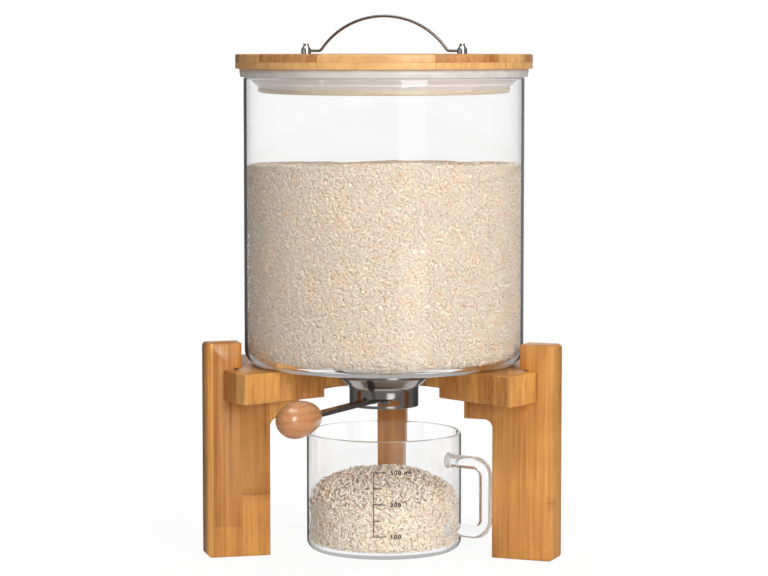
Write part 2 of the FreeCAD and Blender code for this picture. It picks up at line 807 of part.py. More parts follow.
def make_post(name, side):
    """A bell-shaped post with a cross bore for the bail, on a stud that goes through the board."""
    height = s["post_height"]
    bead = s["post_neck"] + s["post_bead"]
    stud_end = s["post_nut_sink"] - s["post_nut_height"] - s["lid_thickness"]
    corners = [
        (0, stud_end),
        (s["post_stud"], stud_end),
        (s["post_stud"], 0),
        (s["post_radius"], 0),
        (s["post_radius"] - s["post_draft"], height * 0.5, height * 0.25),
        (s["post_neck"], height * 0.78, height * 0.12),
        (bead, height * 0.84, height * 0.04),
        (bead, height, height * 0.09),
        (0, height),
    ]
    turn = 0 if side < 0 else 180
    body = turned_body(name, corners, lid_top, turn)
    body.setExpression(".Placement.Base.x", (post_place * side).text)
    bore = new_sketch(body, "YZ_Plane", -(s["wire_depth"] + s["bore_end"]))
    draw_circle(bore, 0, s["wire_level"], s["wire_radius"] + s["wire_play"])
    pocket(body, bore, s["post_radius"] * 2, upward=True)


def make_bail():
    """One wire: an arc over the lid whose feet bend outward into the posts."""
    body = new_body("handle_wire", lid_top + s["wire_level"])
    spine = new_sketch(body, "XZ_Plane")
    end = post_place + s["wire_depth"]
    draw_bail(spine, end)
    profile = new_sketch(body, "YZ_Plane", -end)
    draw_circle(profile, 0, 0, s["wire_radius"])
    pipe(body, spine, profile)


def draw_bail(sketch, end):
    """The bail's centre line: two straight ends, two bends and the arc between them."""
    rise = s["bail_rise"]
    half = s["bail_span"] / 2
    bend = s["bail_bend"]
    arc_radius = (rise * rise + half * half) / (rise * 2)
    drop = arc_radius + bend - rise
    foot = root((arc_radius + bend) * (arc_radius + bend) - drop * drop)
    arc_centre = rise - arc_radius
    lean = math.atan2(bend.value - arc_centre.value, foot.value)
    axis = FreeCAD.Vector(0, 0, 1)
    big = Part.Circle(point(0, arc_centre.value), axis, arc_radius.value)
    crown = sketch.addGeometry(Part.ArcOfCircle(big, lean, math.pi - lean), False)
    for side in (-1, 1):
        small = Part.Circle(point(side * foot.value, bend.value), axis, bend.value)
        first, last = (-math.pi / 2, -lean) if side < 0 else (math.pi + lean, math.pi * 1.5)
        curve = sketch.addGeometry(Part.ArcOfCircle(small, first, last), False)
        line = Part.LineSegment(point(side * end.value, 0), point(side * foot.value, 0))
        straight = sketch.addGeometry(line, False)
        crown_end, high, low = (2, 2, 1) if side < 0 else (1, 1, 2)
        constrain(sketch, "Tangent", straight, 2, curve, low)
        constrain(sketch, "Tangent", curve, high, crown, crown_end)
        constrain(sketch, "Radius", curve, size=bend)
        constrain(sketch, "PointOnObject", straight, 1, -1)
        constrain(sketch, "PointOnObject", straight, 2, -1)
        constrain(sketch, "DistanceX", straight, 1, size=end * side)
    constrain(sketch, "Radius", crown, size=arc_radius)
    constrain(sketch, "PointOnObject", crown, 3, -2)
    constrain(sketch, "DistanceY", crown, 3, size=arc_centre)


def make_post_nuts():
    """The nut on each post's stud, in the board's counterbore."""
    body = new_body("handle_post_nuts", lid_level + s["post_nut_sink"] - s["post_nut_height"])
    body.AllowCompound = True
    for side in (-1, 1):
        sketch = new_sketch(body, "XY_Plane")
        draw_hexagon(sketch, post_place * side, s["post_nut_flats"])
        draw_circle(sketch, post_place * side, 0, s["post_stud"] + s["stud_fit"])
        pad(body, sketch, s["post_nut_height"])


# ---- Cup ------------------------------------------------------------------------------------


def make_cup():
    """A straight glass cup with a bent glass rod for a handle."""
    rim = s["cup_wall"] * 0.45
    inner = s["cup_radius"] - s["cup_wall"]
    corners = [
        (0, 0),
        (s["cup_radius"], 0, s["cup_corner"]),
        (s["cup_radius"], s["cup_height"], rim),
        (inner, s["cup_height"], rim),
        (inner, s["cup_floor"], s["cup_corner"] - s["cup_wall"]),
        (0, s["cup_floor"]),
    ]
    body = turned_body("cup_glass", corners, turn=s["cup_handle_angle"])
    root_place = s["cup_radius"] - s["cup_wall"] / 2
    reach = s["cup_radius"] + s["cup_reach"]
    spine = new_sketch(body, "XZ_Plane")
    path = [
        (root_place, s["cup_handle_high"]),
        (reach, s["cup_handle_high"], s["cup_bend"]),
        (reach, s["cup_handle_low"], s["cup_bend"]),
        (root_place, s["cup_handle_low"]),
    ]
    draw_outline(spine, path, closed=False)
    profile = new_sketch(body, "YZ_Plane", root_place)
    draw_circle(profile, 0, s["cup_handle_high"], s["cup_rod"])
    pipe(body, spine, profile)


# ---- Assembly and export --------------------------------------------------------------------


def make_all():
    make_disc()
    for name, direction in leg_directions().items():
        make_leg(name, direction)
    make_jar()
    make_gasket("outlet_gasket_upper", jar_level + s["jar_floor"])
    make_gasket("outlet_gasket_lower", collar_top)
    make_funnel()
    make_collar()
    make_windowed_disc(
        "outlet_sector_plate", plate_level, s["pipe_radius"], s["plate_thickness"], pivot_bore
    )
    make_shutter()
    make_lever()
    make_rivets()
    make_pivot()
    make_knob()
    make_lid()
    make_plug()
    make_seal()
    make_post("handle_post_left", -1)
    make_post("handle_post_right", 1)
    make_post_nuts()
    make_bail()
    make_cup()


def pieces():
    """Every finished sub-part: the bodies, and the knob made of primitives."""
    found = [o for o in doc.Objects if o.TypeId == "PartDesign::Body"]
    return found + [doc.getObject("lever_knob")]


def check_all():
    """Stop if any object failed or any piece's shape is missing or faulty."""
    for item in doc.Objects:
        if any(word in item.State for word in ("Invalid", "Error")):
            raise RuntimeError(f"{item.Name}: {item.State}")
    for piece in pieces():
        if piece.Shape.isNull() or not piece.Shape.isValid():
            raise RuntimeError(f"{piece.Label}: faulty shape")


def export_all():
    os.makedirs("parts", exist_ok=True)
    for piece in pieces():
        piece.Shape.exportStep(f"parts/{piece.Label}.step")
        box = piece.Shape.BoundBox
        print(
            f"{piece.Label}: {len(piece.Shape.Solids)} solid(s), {piece.Shape.Volume:.0f} mm3, "
            f"x {box.XMin:.1f}..{box.XMax:.1f} y {box.YMin:.1f}..{box.YMax:.1f} "
            f"z {box.ZMin:.1f}..{box.ZMax:.1f}"
        )


make_all()
doc.recompute()
check_all()
export_all()
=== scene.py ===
"""A glass rice dispenser on its bamboo stand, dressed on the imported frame."""

import logging
import math
from dataclasses import dataclass, field
from enum import Enum
from typing import Callable, Sequence

import bmesh
import bpy
import numpy as np
from mathutils import Matrix, Vector


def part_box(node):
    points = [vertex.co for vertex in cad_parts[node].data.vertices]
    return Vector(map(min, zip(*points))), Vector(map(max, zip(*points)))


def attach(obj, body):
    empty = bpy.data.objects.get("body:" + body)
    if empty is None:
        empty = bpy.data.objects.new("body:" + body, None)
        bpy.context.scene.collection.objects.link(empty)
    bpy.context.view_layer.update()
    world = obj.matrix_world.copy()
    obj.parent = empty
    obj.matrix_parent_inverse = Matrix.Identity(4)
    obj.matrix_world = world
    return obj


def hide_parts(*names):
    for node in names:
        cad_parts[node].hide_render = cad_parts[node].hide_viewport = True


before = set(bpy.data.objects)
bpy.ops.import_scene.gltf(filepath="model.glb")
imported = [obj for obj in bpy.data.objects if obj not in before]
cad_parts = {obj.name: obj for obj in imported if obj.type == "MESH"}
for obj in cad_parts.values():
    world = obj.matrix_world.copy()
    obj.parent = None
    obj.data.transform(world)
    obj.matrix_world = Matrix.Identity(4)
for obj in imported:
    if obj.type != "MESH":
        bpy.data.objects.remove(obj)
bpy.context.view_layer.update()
LOG = logging.getLogger("dispenser")
MM = 0.001
TAU = 2.0 * math.pi

GRAIN_TONE = "grain_tone"
WHITE = (1.0, 1.0, 1.0)

Array = np.ndarray
Triple = tuple[float, float, float]
Colour = Triple
Corner = tuple[float, ...]
Piece = bpy.types.Object
Material = bpy.types.Material
Node = bpy.types.Node
Socket = bpy.types.NodeSocket
Value = float | tuple[float, ...] | Socket
Inputs = dict[str | int, Value]


class Slot(Enum):
    """The record's material slots."""

    BAMBOO = "bamboo"
    BEECH = "beech"
    GLASS = "clear_glass"
    STEEL = "steel"
    CHROME = "chrome"
    SILICONE = "silicone"


class Grain(Enum):
    """The axis that a board's fibres run along, as the turns that bring it to Z."""

    ALONG_X = ((0.0, math.pi / 2, 0.0), (0.0, 0.0, math.pi / 2))
    ALONG_Y = ((math.pi / 2, 0.0, 0.0),)
    ALONG_Z = ()


# ---- The frame's measures -------------------------------------------------------------------


def low(node: str) -> Array:
    """Return a node's lowest corner in metres."""
    return np.array(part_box(node)[0])


def high(node: str) -> Array:
    """Return a node's highest corner in metres."""
    return np.array(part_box(node)[1])


@dataclass(frozen=True)
class JarSizes:
    """The jar's sizes, from the frame where it gives them.

    Attributes:
        radius: Its outer radius.
        bottom: Height of its base.
        top: Height of its rim.
        wall: Thickness of its wall.
        floor: Thickness of its floor.
        corner: Outer radius of its bottom corner.
        hole: Radius of the hole in its floor.
    """

    radius: float = float(high("jar_glass")[0])
    bottom: float = float(low("jar_glass")[2])
    top: float = float(high("jar_glass")[2])
    wall: float = 2.8 * MM
    floor: float = 4.0 * MM
    corner: float = 11.0 * MM
    hole: float = 23.2 * MM


@dataclass(frozen=True)
class CupSizes:
    """The cup's sizes, from the frame where it gives them.

    Attributes:
        radius: Its outer radius.
        top: Height of its rim.
        wall: Thickness of its wall.
        floor: Thickness of its floor.
        corner: Outer radius of its bottom corner.
        handle_angle: Turn of its handle about Z, in radians.
        handle_low: Height of the handle's lower arm.
        handle_high: Height of the handle's upper arm.
        handle_reach: Distance of the handle's grip from the axis.
        handle_bend: Radius of the handle's bends.
        rod: Radius of the handle's rod.
    """

    radius: float = -float(low("cup_glass")[0])
    top: float = float(high("cup_glass")[2])
    wall: float = 2.4 * MM
    floor: float = 3.5 * MM
    corner: float = 7.0 * MM
    handle_angle: float = math.radians(-30.0)
    handle_low: float = 18.5 * MM
    handle_high: float = 67.0 * MM
    handle_reach: float = 84.5 * MM
    handle_bend: float = 9.0 * MM
    rod: float = 4.5 * MM


# ---- Meshes from arrays ---------------------------------------------------------------------


def put_object(name: str, data: bpy.types.ID) -> Piece:
    """Put an object with some data in the scene.

    Args:
        name: The object's name.
        data: Its mesh, curve, lens or light.

    Returns:
        The object, at the origin.
    """
    thing = bpy.data.objects.new(name, data)
    bpy.context.scene.collection.objects.link(thing)
    return thing


def mesh_points(mesh: bpy.types.Mesh) -> Array:
    """Read a mesh's points.

    Args:
        mesh: The mesh.

    Returns:
        The points, one row each.
    """
    points = np.empty(len(mesh.vertices) * 3, np.float32)
    mesh.vertices.foreach_get("co", points)
    return points.reshape(-1, 3)


def move_points(mesh: bpy.types.Mesh, points: Array) -> None:
    """Move a mesh's points to new places."""
    mesh.vertices.foreach_set("co", points.astype(np.float32).ravel())
    mesh.update()


def make_piece(name: str, points: Array, faces: Array, smooth: bool = True) -> Piece:
    """Make a mesh object from points and equal-sided faces.

    Args:
        name: The piece's name.
        points: Points in metres, one row each.
        faces: Point numbers, one row a face.
        smooth: Whether its faces are shaded smooth.

    Returns:
        The object, at the origin.
    """
    mesh = bpy.data.meshes.new(name)
    sides = faces.shape[1]
    mesh.vertices.add(len(points))
    mesh.vertices.foreach_set("co", np.ascontiguousarray(points, np.float32).ravel())
    mesh.loops.add(faces.size)
    mesh.loops.foreach_set("vertex_index", np.ascontiguousarray(faces, np.int32).ravel())
    mesh.polygons.add(len(faces))
    mesh.polygons.foreach_set("loop_start", np.arange(0, faces.size, sides, dtype=np.int32))
    mesh.update(calc_edges=True)
    mesh.validate()
    mesh.polygons.foreach_set("use_smooth", np.full(len(mesh.polygons), smooth))
    return put_object(name, mesh)


def grid_faces(rows: int, columns: int, wrap_rows: bool, wrap_columns: bool) -> Array:
    """Return the four-sided faces of a grid, whose point (i, j) is number i * columns + j.

    Args:
        rows: Rows of points.
        columns: Points in a row.
        wrap_rows: Whether the last row joins the first.
        wrap_columns: Whether each row's last point joins its first.

    Returns:
        The point numbers, one row a face.
    """
    i = np.arange(rows if wrap_rows else rows - 1)[:, None]
    j = np.arange(columns if wrap_columns else columns - 1)[None, :]
    i2, j2 = (i + 1) % rows, (j + 1) % columns
    corners = [i * columns + j, i * columns + j2, i2 * columns + j2, i2 * columns + j]
    return np.stack([np.broadcast_to(c, (len(i), j.shape[1])) for c in corners], -1).reshape(-1, 4)


def lathe(name: str, profile: Array, turns: int = 192, closed: bool = True) -> Piece:
    """Turn a profile about the Z axis: (r cos t, r sin t, z) for each t of a full circle.

    Args:
        name: The piece's name.
        profile: Rows of radius and height, going round the section anticlockwise.
        turns: Points round the circle.
        closed: Whether the profile closes on itself. An open one starts and ends on the axis.

    Returns:
        The turned piece, with its poles merged.
    """
    t = np.linspace(0.0, TAU, turns, endpoint=False)
    r, z = profile[:, 0][None, :], profile[:, 1][None, :]
    shape = (turns, profile.shape[0])
    points = np.stack([np.cos(t)[:, None] * r, np.sin(t)[:, None] * r, np.broadcast_to(z, shape)], -1)
    faces = grid_faces(turns, profile.shape[0], True, closed)[:, ::-1]
    piece = make_piece(name, points.reshape(-1, 3), faces)
    if not closed:
        mend(piece)
    return piece


def mend(piece: Piece, distance: float = 1e-7, fill: bool = False) -> None:
    """Merge points that coincide, such as a turned shape's poles, and turn the faces outwards.

    Args:
        piece: The piece.
        distance: How close points that coincide lie, in metres.
        fill: Whether open ends are closed with a face.
    """
    work = bmesh.new()
    work.from_mesh(piece.data)
    bmesh.ops.remove_doubles(work, verts=work.verts, dist=distance)
    if fill:
        bmesh.ops.holes_fill(work, edges=work.edges)
    bmesh.ops.recalc_face_normals(work, faces=work.faces)
    work.to_mesh(piece.data)
    work.free()


def rounded(corners: Sequence[Corner], steps: int = 6, closed: bool = True) -> Array:
    """Return an outline with arcs at its corners.

    Each corner is x, y and an optional radius r. A rounded corner becomes an arc that touches
    both of its edges, of steps + 1 points. With h half of the angle between the edges, its
    middle lies r / sin h from the corner and its ends lie r / tan h from the corner.

    Args:
        corners: The corners, in order.
        steps: Pieces of each arc.
        closed: Whether the last corner joins the first.

    Returns:
        Rows of x and y.
    """
    spots = np.array([c[:2] for c in corners], float)
    out = []
    for i, corner in enumerate(corners):
        if len(corner) < 3 or corner[2] <= 0.0 or (not closed and i in (0, len(corners) - 1)):
            out.append(spots[i][None, :])
            continue
        back = spots[i - 1] - spots[i]
        ahead = spots[(i + 1) % len(spots)] - spots[i]
        back, ahead = back / np.linalg.norm(back), ahead / np.linalg.norm(ahead)
        half = 0.5 * math.acos(float(np.clip(back @ ahead, -1.0, 1.0)))
        bisector = (back + ahead) / np.linalg.norm(back + ahead)
        middle = spots[i] + bisector * corner[2] / math.sin(half)
        first, last = (spots[i] + edge * corner[2] / math.tan(half) - middle for edge in (back, ahead))
        start = math.atan2(first[1], first[0])
        sweep = (math.atan2(last[1], last[0]) - start + math.pi) % TAU - math.pi
        angles = start + sweep * np.linspace(0.0, 1.0, steps + 1)
        out.append(middle + corner[2] * np.stack([np.cos(angles), np.sin(angles)], -1))
    return np.concatenate(out)


def tube(name: str, path: Array, radius: float | Array, normal: Array, sides: int = 24) -> Piece:
    """Carry a circle along a flat path, with its ends closed to points.

    With T the path's direction and N the plane's normal, the ring at angle t is
    radius * (N cos t + (T x N) sin t) about the path's point.

    Args:
        name: The piece's name.
        path: Rows of points in metres.
        radius: One radius, or one for each point.
        normal: The normal of the plane that the path lies in.
        sides: Points round the circle.

    Returns:
        The tube.
    """
    radii = np.broadcast_to(np.asarray(radius, float), (len(path),))
    along = np.gradient(path, axis=0)
    along /= np.linalg.norm(along, axis=1, keepdims=True)
    across = np.broadcast_to(normal / np.linalg.norm(normal), along.shape)
    other = np.cross(along, across)
    t = np.linspace(0.0, TAU, sides, endpoint=False)[None, :, None]
    ring = np.cos(t) * across[:, None, :] + np.sin(t) * other[:, None, :]
    rings = path[:, None, :] + radii[:, None, None] * ring
    caps = [np.repeat(path[i][None, None, :], sides, 1) for i in (0, -1)]
    rings = np.concatenate([caps[0], rings, caps[1]])
    piece = make_piece(name, rings.reshape(-1, 3), grid_faces(len(rings), sides, False, True))
    mend(piece)
    return piece


def arc(centre: Corner, radius: float, first: float, last: float, steps: int) -> Array:
    """Return points on a circle: centre + radius * (cos a, sin a), for degrees first to last."""
    a = np.radians(np.linspace(first, last, steps + 1))
    return np.array(centre) + radius * np.stack([np.cos(a), np.sin(a)], -1)


def cad_copy(node: str, name: str, bevel: float = 0.0) -> Piece:
    """Copy a CAD node as one connected mesh, with its sharp edges kept sharp.

    Args:
        node: The CAD node.
        name: The copy's name.
        bevel: Width of a small bevel on the sharp edges, in metres.

    Returns:
        The copy.
    """
    piece = put_object(name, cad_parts[node].data.copy())
    mend(piece, 1e-6)
    piece.data.polygons.foreach_set("use_smooth", np.ones(len(piece.data.polygons), bool))
    sharp = math.radians(28.0)
    piece.data.set_sharp_from_angle(angle=sharp)
    if bevel > 0.0:
        modifier = piece.modifiers.new("edges", "BEVEL")
        modifier.width = bevel
        modifier.segments = 2
        modifier.limit_method = "ANGLE"
        modifier.angle_limit = sharp
    return piece


# ---- Shader building ------------------------------------------------------------------------


def srgb(red: float, green: float, blue: float) -> Colour:
    """Turn a display colour into linear values.

    With v a channel over 255, the linear value is v / 12.92 up to 0.04045, and
    ((v + 0.055) / 1.055) ** 2.4 above it.

    Args:
        red: Red, 0 to 255.
        green: Green, 0 to 255.
        blue: Blue, 0 to 255.

    Returns:
        The linear colour, 0 to 1.
    """
    values = np.array([red, green, blue]) / 255.0
    linear = np.where(values <= 0.04045, values / 12.92, ((values + 0.055) / 1.055) ** 2.4)
    return tuple(float(v) for v in linear)


class Tree:
    """Adds nodes and links to one node tree, in a row."""

    STEP = 180

    def __init__(self, tree: bpy.types.NodeTree) -> None:
        """Keep the tree and start an empty row."""
        self.tree = tree
        self.column = 0

    def add(self, kind: str, inputs: Inputs | None = None, **options: object) -> Node:
        """Add a node, set its options, and feed its inputs.

        Args:
            kind: The node's type name.
            inputs: What its inputs get.
            **options: Attributes of the node.

        Returns:
            The node.
        """
        node = self.tree.nodes.new(kind)
        node.location = (self.column, 0)
        self.column += self.STEP
        for name, value in options.items():
            setattr(node, name, value)
        self.feed(node, inputs or {})
        return node

    def feed(self, node: Node, inputs: Inputs) -> None:
        """Link or set a node's inputs. A colour of three values gets an alpha of 1.

        Args:
            node: The node.
            inputs: Values or sockets by the input's name or number.
        """
        for name, value in inputs.items():
            socket = node.inputs[name]
            if isinstance(value, Socket):
                self.tree.links.new(value, socket)
            elif socket.type == "RGBA" and len(value) == 3:
                socket.default_value = (*value, 1.0)
            else:
                socket.default_value = value

    def find(self, kind: str) -> Node:
        """Return the tree's first node of a type."""
        return next(node for node in self.tree.nodes if node.type == kind)

    def place(self) -> Socket:
        """Return the Object coordinates."""
        return self.add("ShaderNodeTexCoord").outputs["Object"]

    def math(self, operation: str, *values: Value, clamp: bool = False) -> Socket:
        """Combine values with one Math node."""
        inputs = dict(enumerate(values))
        return self.add("ShaderNodeMath", inputs, operation=operation, use_clamp=clamp).outputs[0]

    def plus(self, first: Value, second: Value) -> Socket:
        """Add two values."""
        return self.math("ADD", first, second)

    def minus(self, first: Value, second: Value) -> Socket:
        """Take the second value from the first."""
        return self.math("SUBTRACT", first, second)

    def times(self, first: Value, second: Value) -> Socket:
        """Multiply two values."""
        return self.math("MULTIPLY", first, second)

    def most(self, first: Value, second: Value) -> Socket:
        """Return the larger of two values."""
        return self.math("MAXIMUM", first, second)

    def swing(self, value: Value, width: Value) -> Socket:
        """Centre a value of 0 to 1 on zero and widen it: (value - 0.5) * width."""
        return self.times(self.minus(value, 0.5), width)

    def vector_math(self, operation: str, result: str, *vectors: Value) -> Socket:
        """Combine vectors with one Vector Math node and return one of its results."""
        inputs = dict(enumerate(vectors))
        return self.add("ShaderNodeVectorMath", inputs, operation=operation).outputs[result]

    def split(self, vector: Socket) -> tuple[Socket, ...]:
        """Return a vector's x, y and z."""
        return tuple(self.add("ShaderNodeSeparateXYZ", {0: vector}).outputs)

    def join(self, x: Value, y: Value, z: Value) -> Socket:
        """Return the vector of three values."""
        return self.add("ShaderNodeCombineXYZ", {0: x, 1: y, 2: z}).outputs[0]

    def lay(self, place: Socket, way: str, amount: Triple) -> Socket:
        """Move, turn or stretch a pattern: the way is Location, Rotation or Scale."""
        return self.add("ShaderNodeMapping", {"Vector": place, way: amount}).outputs[0]

    def ramp(
        self, value: Value, start: float, end: float, at_start: float = 0.0, at_end: float = 1.0
    ) -> Socket:
        """Map a value smoothly from one range to another, level outside it.

        Args:
            value: The value.
            start: Where the change begins.
            end: Where it ends.
            at_start: The result up to start.
            at_end: The result from end on.

        Returns:
            The mapped value.
        """
        inputs = {"Value": value, "From Min": start, "From Max": end, "To Min": at_start, "To Max": at_end}
        return self.add("ShaderNodeMapRange", inputs, interpolation_type="SMOOTHSTEP").outputs["Result"]

    def mix(self, share: Value, first: Value, second: Value, blend: str = "MIX") -> Socket:
        """Mix two colours.

        Args:
            share: How much of the second colour shows.
            first: The first colour.
            second: The second colour.
            blend: The way of mixing.

        Returns:
            The mixed colour.
        """
        inputs = {0: share, 6: first, 7: second}
        return self.add("ShaderNodeMix", inputs, data_type="RGBA", blend_type=blend).outputs[2]

    def mix_shaders(self, share: Value, first: Socket, second: Socket) -> Socket:
        """Mix two shaders, by the share of the second."""
        return self.add("ShaderNodeMixShader", {0: share, 1: first, 2: second}).outputs[0]

    def noise(self, place: Socket, scale: float, detail: float = 2.0, roughness: float = 0.5) -> Socket:
        """Return the value of a noise texture."""
        inputs = {"Vector": place, "Scale": scale, "Detail": detail, "Roughness": roughness}
        return self.add("ShaderNodeTexNoise", inputs).outputs[0]

    def draw(self, x: Value, y: Value, z: Value) -> tuple[Socket, ...]:
        """Return three random values of 0 to 1 for a cell."""
        chance = self.add("ShaderNodeTexWhiteNoise", {"Vector": self.join(x, y, z)}, noise_dimensions="3D")
        return tuple(self.add("ShaderNodeSeparateColor", {0: chance.outputs["Color"]}).outputs)

    def bump(self, height: Socket, distance: float, strength: float = 1.0) -> Socket:
        """Return the normal of a surface with a fine relief."""
        inputs = {"Height": height, "Distance": distance, "Strength": strength}
        return self.add("ShaderNodeBump", inputs).outputs["Normal"]

    def group(self, name: str, inputs: Inputs) -> bpy.types.NodeOutputs:
        """Place a shared node group and return its outputs."""
        return self.add("ShaderNodeGroup", inputs, node_tree=bpy.data.node_groups[name]).outputs


def new_group(
    name: str, inputs: dict[str, str], outputs: dict[str, str]
) -> tuple[Tree, bpy.types.NodeOutputs]:
    """Start a shared shader node group.

    Args:
        name: The group's name.
        inputs: Socket type by input name.
        outputs: Socket type by output name.

    Returns:
        The group's tree and what it is given.
    """
    tree = bpy.data.node_groups.new(name, "ShaderNodeTree")
    for way, sockets in (("INPUT", inputs), ("OUTPUT", outputs)):
        for key, kind in sockets.items():
            tree.interface.new_socket(key, in_out=way, socket_type=f"NodeSocket{kind}")
    work = Tree(tree)
    return work, work.add("NodeGroupInput").outputs


def build_bamboo_group() -> None:
    """Build laminated bamboo: strips across X, plies through Y, fibres and knuckles along Z.

    Each strip of each ply draws its tone, its shift along the fibres and whether it shows
    knuckles. With Break at 1 the tone is drawn anew past each knuckle. The tone's depth is
    0.45 plus the swings of tone, streaks, fibres and a slow cloud, plus the knuckle's band.
    """
    work, given = new_group(
        "laminated_bamboo",
        {
            "Place": "Vector", "Strip": "Float", "Ply": "Float", "Seed": "Float", "Contrast": "Float",
            "Light": "Color", "Dark": "Color", "Joint": "Float", "Break": "Float",
        },
        {"Color": "Color", "Roughness": "Float", "Height": "Float"},
    )
    knuckle_gap = 0.21
    x, y, z = work.split(given["Place"])
    across = work.math("DIVIDE", x, given["Strip"])
    strip = work.plus(work.math("FLOOR", across), given["Seed"])
    ply = work.times(work.math("FLOOR", work.math("DIVIDE", y, given["Ply"])), 7.3)
    _, shift, chance = work.draw(strip, ply, 0.5)
    squeezed = work.join(work.plus(x, shift), work.times(y, 0.12), work.times(z, 0.018))
    fibre = work.noise(squeezed, 1500.0, 3.0, 0.65)
    streak = work.noise(squeezed, 420.0)
    cloud = work.noise(given["Place"], 26.0)
    wander = work.swing(work.noise(given["Place"], 260.0), 0.012)
    along = work.plus(work.plus(work.math("DIVIDE", z, knuckle_gap), shift), wander)
    distance = work.times(work.math("ABSOLUTE", work.minus(work.math("FRACT", along), 0.5)), knuckle_gap)
    has_knuckle = work.math("GREATER_THAN", chance, 0.45)
    line = work.times(work.ramp(distance, 0.0, 0.0011, 1.0, 0.0), has_knuckle)
    band = work.times(work.ramp(distance, 0.0008, 0.0075, 1.0, 0.0), has_knuckle)
    part = work.math("FRACT", across)
    rim = work.times(work.math("MINIMUM", part, work.minus(1.0, part)), given["Strip"])
    seam = work.times(work.ramp(rim, 0.0, 0.00028, 1.0, 0.0), given["Joint"])
    length = work.math("FLOOR", work.plus(along, 0.5))
    tone = work.draw(strip, ply, work.plus(0.5, work.times(length, given["Break"])))[0]
    coarse = work.plus(work.swing(tone, given["Contrast"]), work.swing(streak, 1.1))
    fine = work.plus(work.swing(fibre, 0.75), work.swing(cloud, 0.55))
    depth = work.plus(0.45, work.plus(coarse, fine))
    depth = work.math("ADD", depth, work.times(band, 0.16), clamp=True)
    wood = work.mix(depth, given["Light"], given["Dark"])
    dark = work.most(work.times(seam, 0.42), work.times(line, 0.3))
    work.add("NodeGroupOutput", {
        "Color": work.mix(dark, wood, srgb(112, 66, 30)),
        "Roughness": work.plus(0.36, work.times(fibre, 0.16)),
        "Height": work.minus(work.times(fibre, 0.5), work.most(seam, line)),
    })


def build_polish_group() -> None:
    """Build a soft uneven polish: a slow cloud with fine specks, for roughness."""
    work, given = new_group(
        "uneven_polish",
        {"Place": "Vector", "Base": "Float", "Spread": "Float"},
        {"Roughness": "Float", "Height": "Float"},
    )
    cloud = work.noise(given["Place"], 55.0, 3.0, 0.6)
    speck = work.noise(given["Place"], 900.0)
    both = work.plus(work.times(cloud, 0.7), work.times(speck, 0.3))
    rough = work.plus(given["Base"], work.swing(both, given["Spread"]))
    work.add("NodeGroupOutput", {"Roughness": rough, "Height": both})


def new_material(name: str) -> tuple[Material, Tree, Node]:
    """Start a material.

    Args:
        name: The material's name.

    Returns:
        The material, its tree and its Principled shader.
    """
    material = bpy.data.materials.new(name)
    material.use_nodes = True
    work = Tree(material.node_tree)
    return material, work, work.find("BSDF_PRINCIPLED")


# ---- Finishes -------------------------------------------------------------------------------


@dataclass(frozen=True)
class Bamboo:
    """Laminated bamboo under satin lacquer, for one board.

    Attributes:
        grain: The axis that the fibres follow.
        turn: The board's turn about Z in radians, undone before the pattern is laid.
        strip: Width of a strip.
        ply: Thickness of a ply.
        seed: Chooses the strips' tones.
        contrast: How much the strips differ.
        shift: Moves the pattern across the strips, through the plies and along them.
        breaks: 1 where a strip's tone changes at its knuckle, else 0.
        light: The palest tone.
        dark: The deepest tone.
        coat: Weight of the lacquer.
    """

    grain: Grain
    turn: float = 0.0
    strip: float = 9.2 * MM
    ply: float = 1.0
    seed: float = 0.0
    contrast: float = 0.5
    shift: Triple = (0.0, 0.0, 0.0)
    breaks: float = 0.0
    light: Colour = srgb(236, 170, 88)
    dark: Colour = srgb(167, 99, 39)
    coat: float = 0.25

    def material(self, name: str) -> Material:
        """Build the board's material.

        Args:
            name: The material's name.

        Returns:
            The material.
        """
        material, work, shader = new_material(name)
        laid = work.lay(work.place(), "Rotation", (0.0, 0.0, -self.turn))
        for tilt in self.grain.value:
            laid = work.lay(laid, "Rotation", tilt)
        board = work.group("laminated_bamboo", {
            "Place": work.lay(laid, "Location", self.shift), "Strip": self.strip, "Ply": self.ply,
            "Seed": self.seed, "Contrast": self.contrast, "Light": self.light, "Dark": self.dark,
            "Joint": 0.7, "Break": self.breaks,
        })
        work.feed(shader, {
            "Base Color": board["Color"],
            "Roughness": board["Roughness"],
            "Normal": work.bump(board["Height"], 0.12 * MM, 0.6),
            "Coat Weight": self.coat,
            "Coat Roughness": 0.22,
        })
        return material


@dataclass(frozen=True)
class Metal:
    """Bare metal with a soft uneven polish and fine turned rings about the jar's axis.

    Attributes:
        colour: The metal's colour, in linear values.
        roughness: Its mean roughness.
        rings: Strength of the rings' relief.
    """

    colour: Colour
    roughness: float
    rings: float = 0.0

    def material(self, name: str) -> Material:
        """Build the metal.

        Args:
            name: The material's name.

        Returns:
            The material.
        """
        material, work, shader = new_material(name)
        place = work.place()
        polish = work.group("uneven_polish", {"Place": place, "Base": self.roughness, "Spread": 0.16})
        x, y, z = work.split(place)
        line = work.noise(work.join(work.times(x, 0.03), work.times(y, 0.03), z), 2600.0, 2.0, 0.6)
        shade = work.ramp(line, 0.2, 0.8, 0.9, 1.06)
        grey = work.add("ShaderNodeCombineColor", {0: shade, 1: shade, 2: shade}).outputs[0]
        work.feed(shader, {
            "Base Color": work.mix(1.0, self.colour, grey, "MULTIPLY"),
            "Roughness": polish["Roughness"],
            "Metallic": 1.0,
        })
        if self.rings > 0.0:
            work.feed(shader, {"Normal": work.bump(line, 0.04 * MM, self.rings)})
        return material


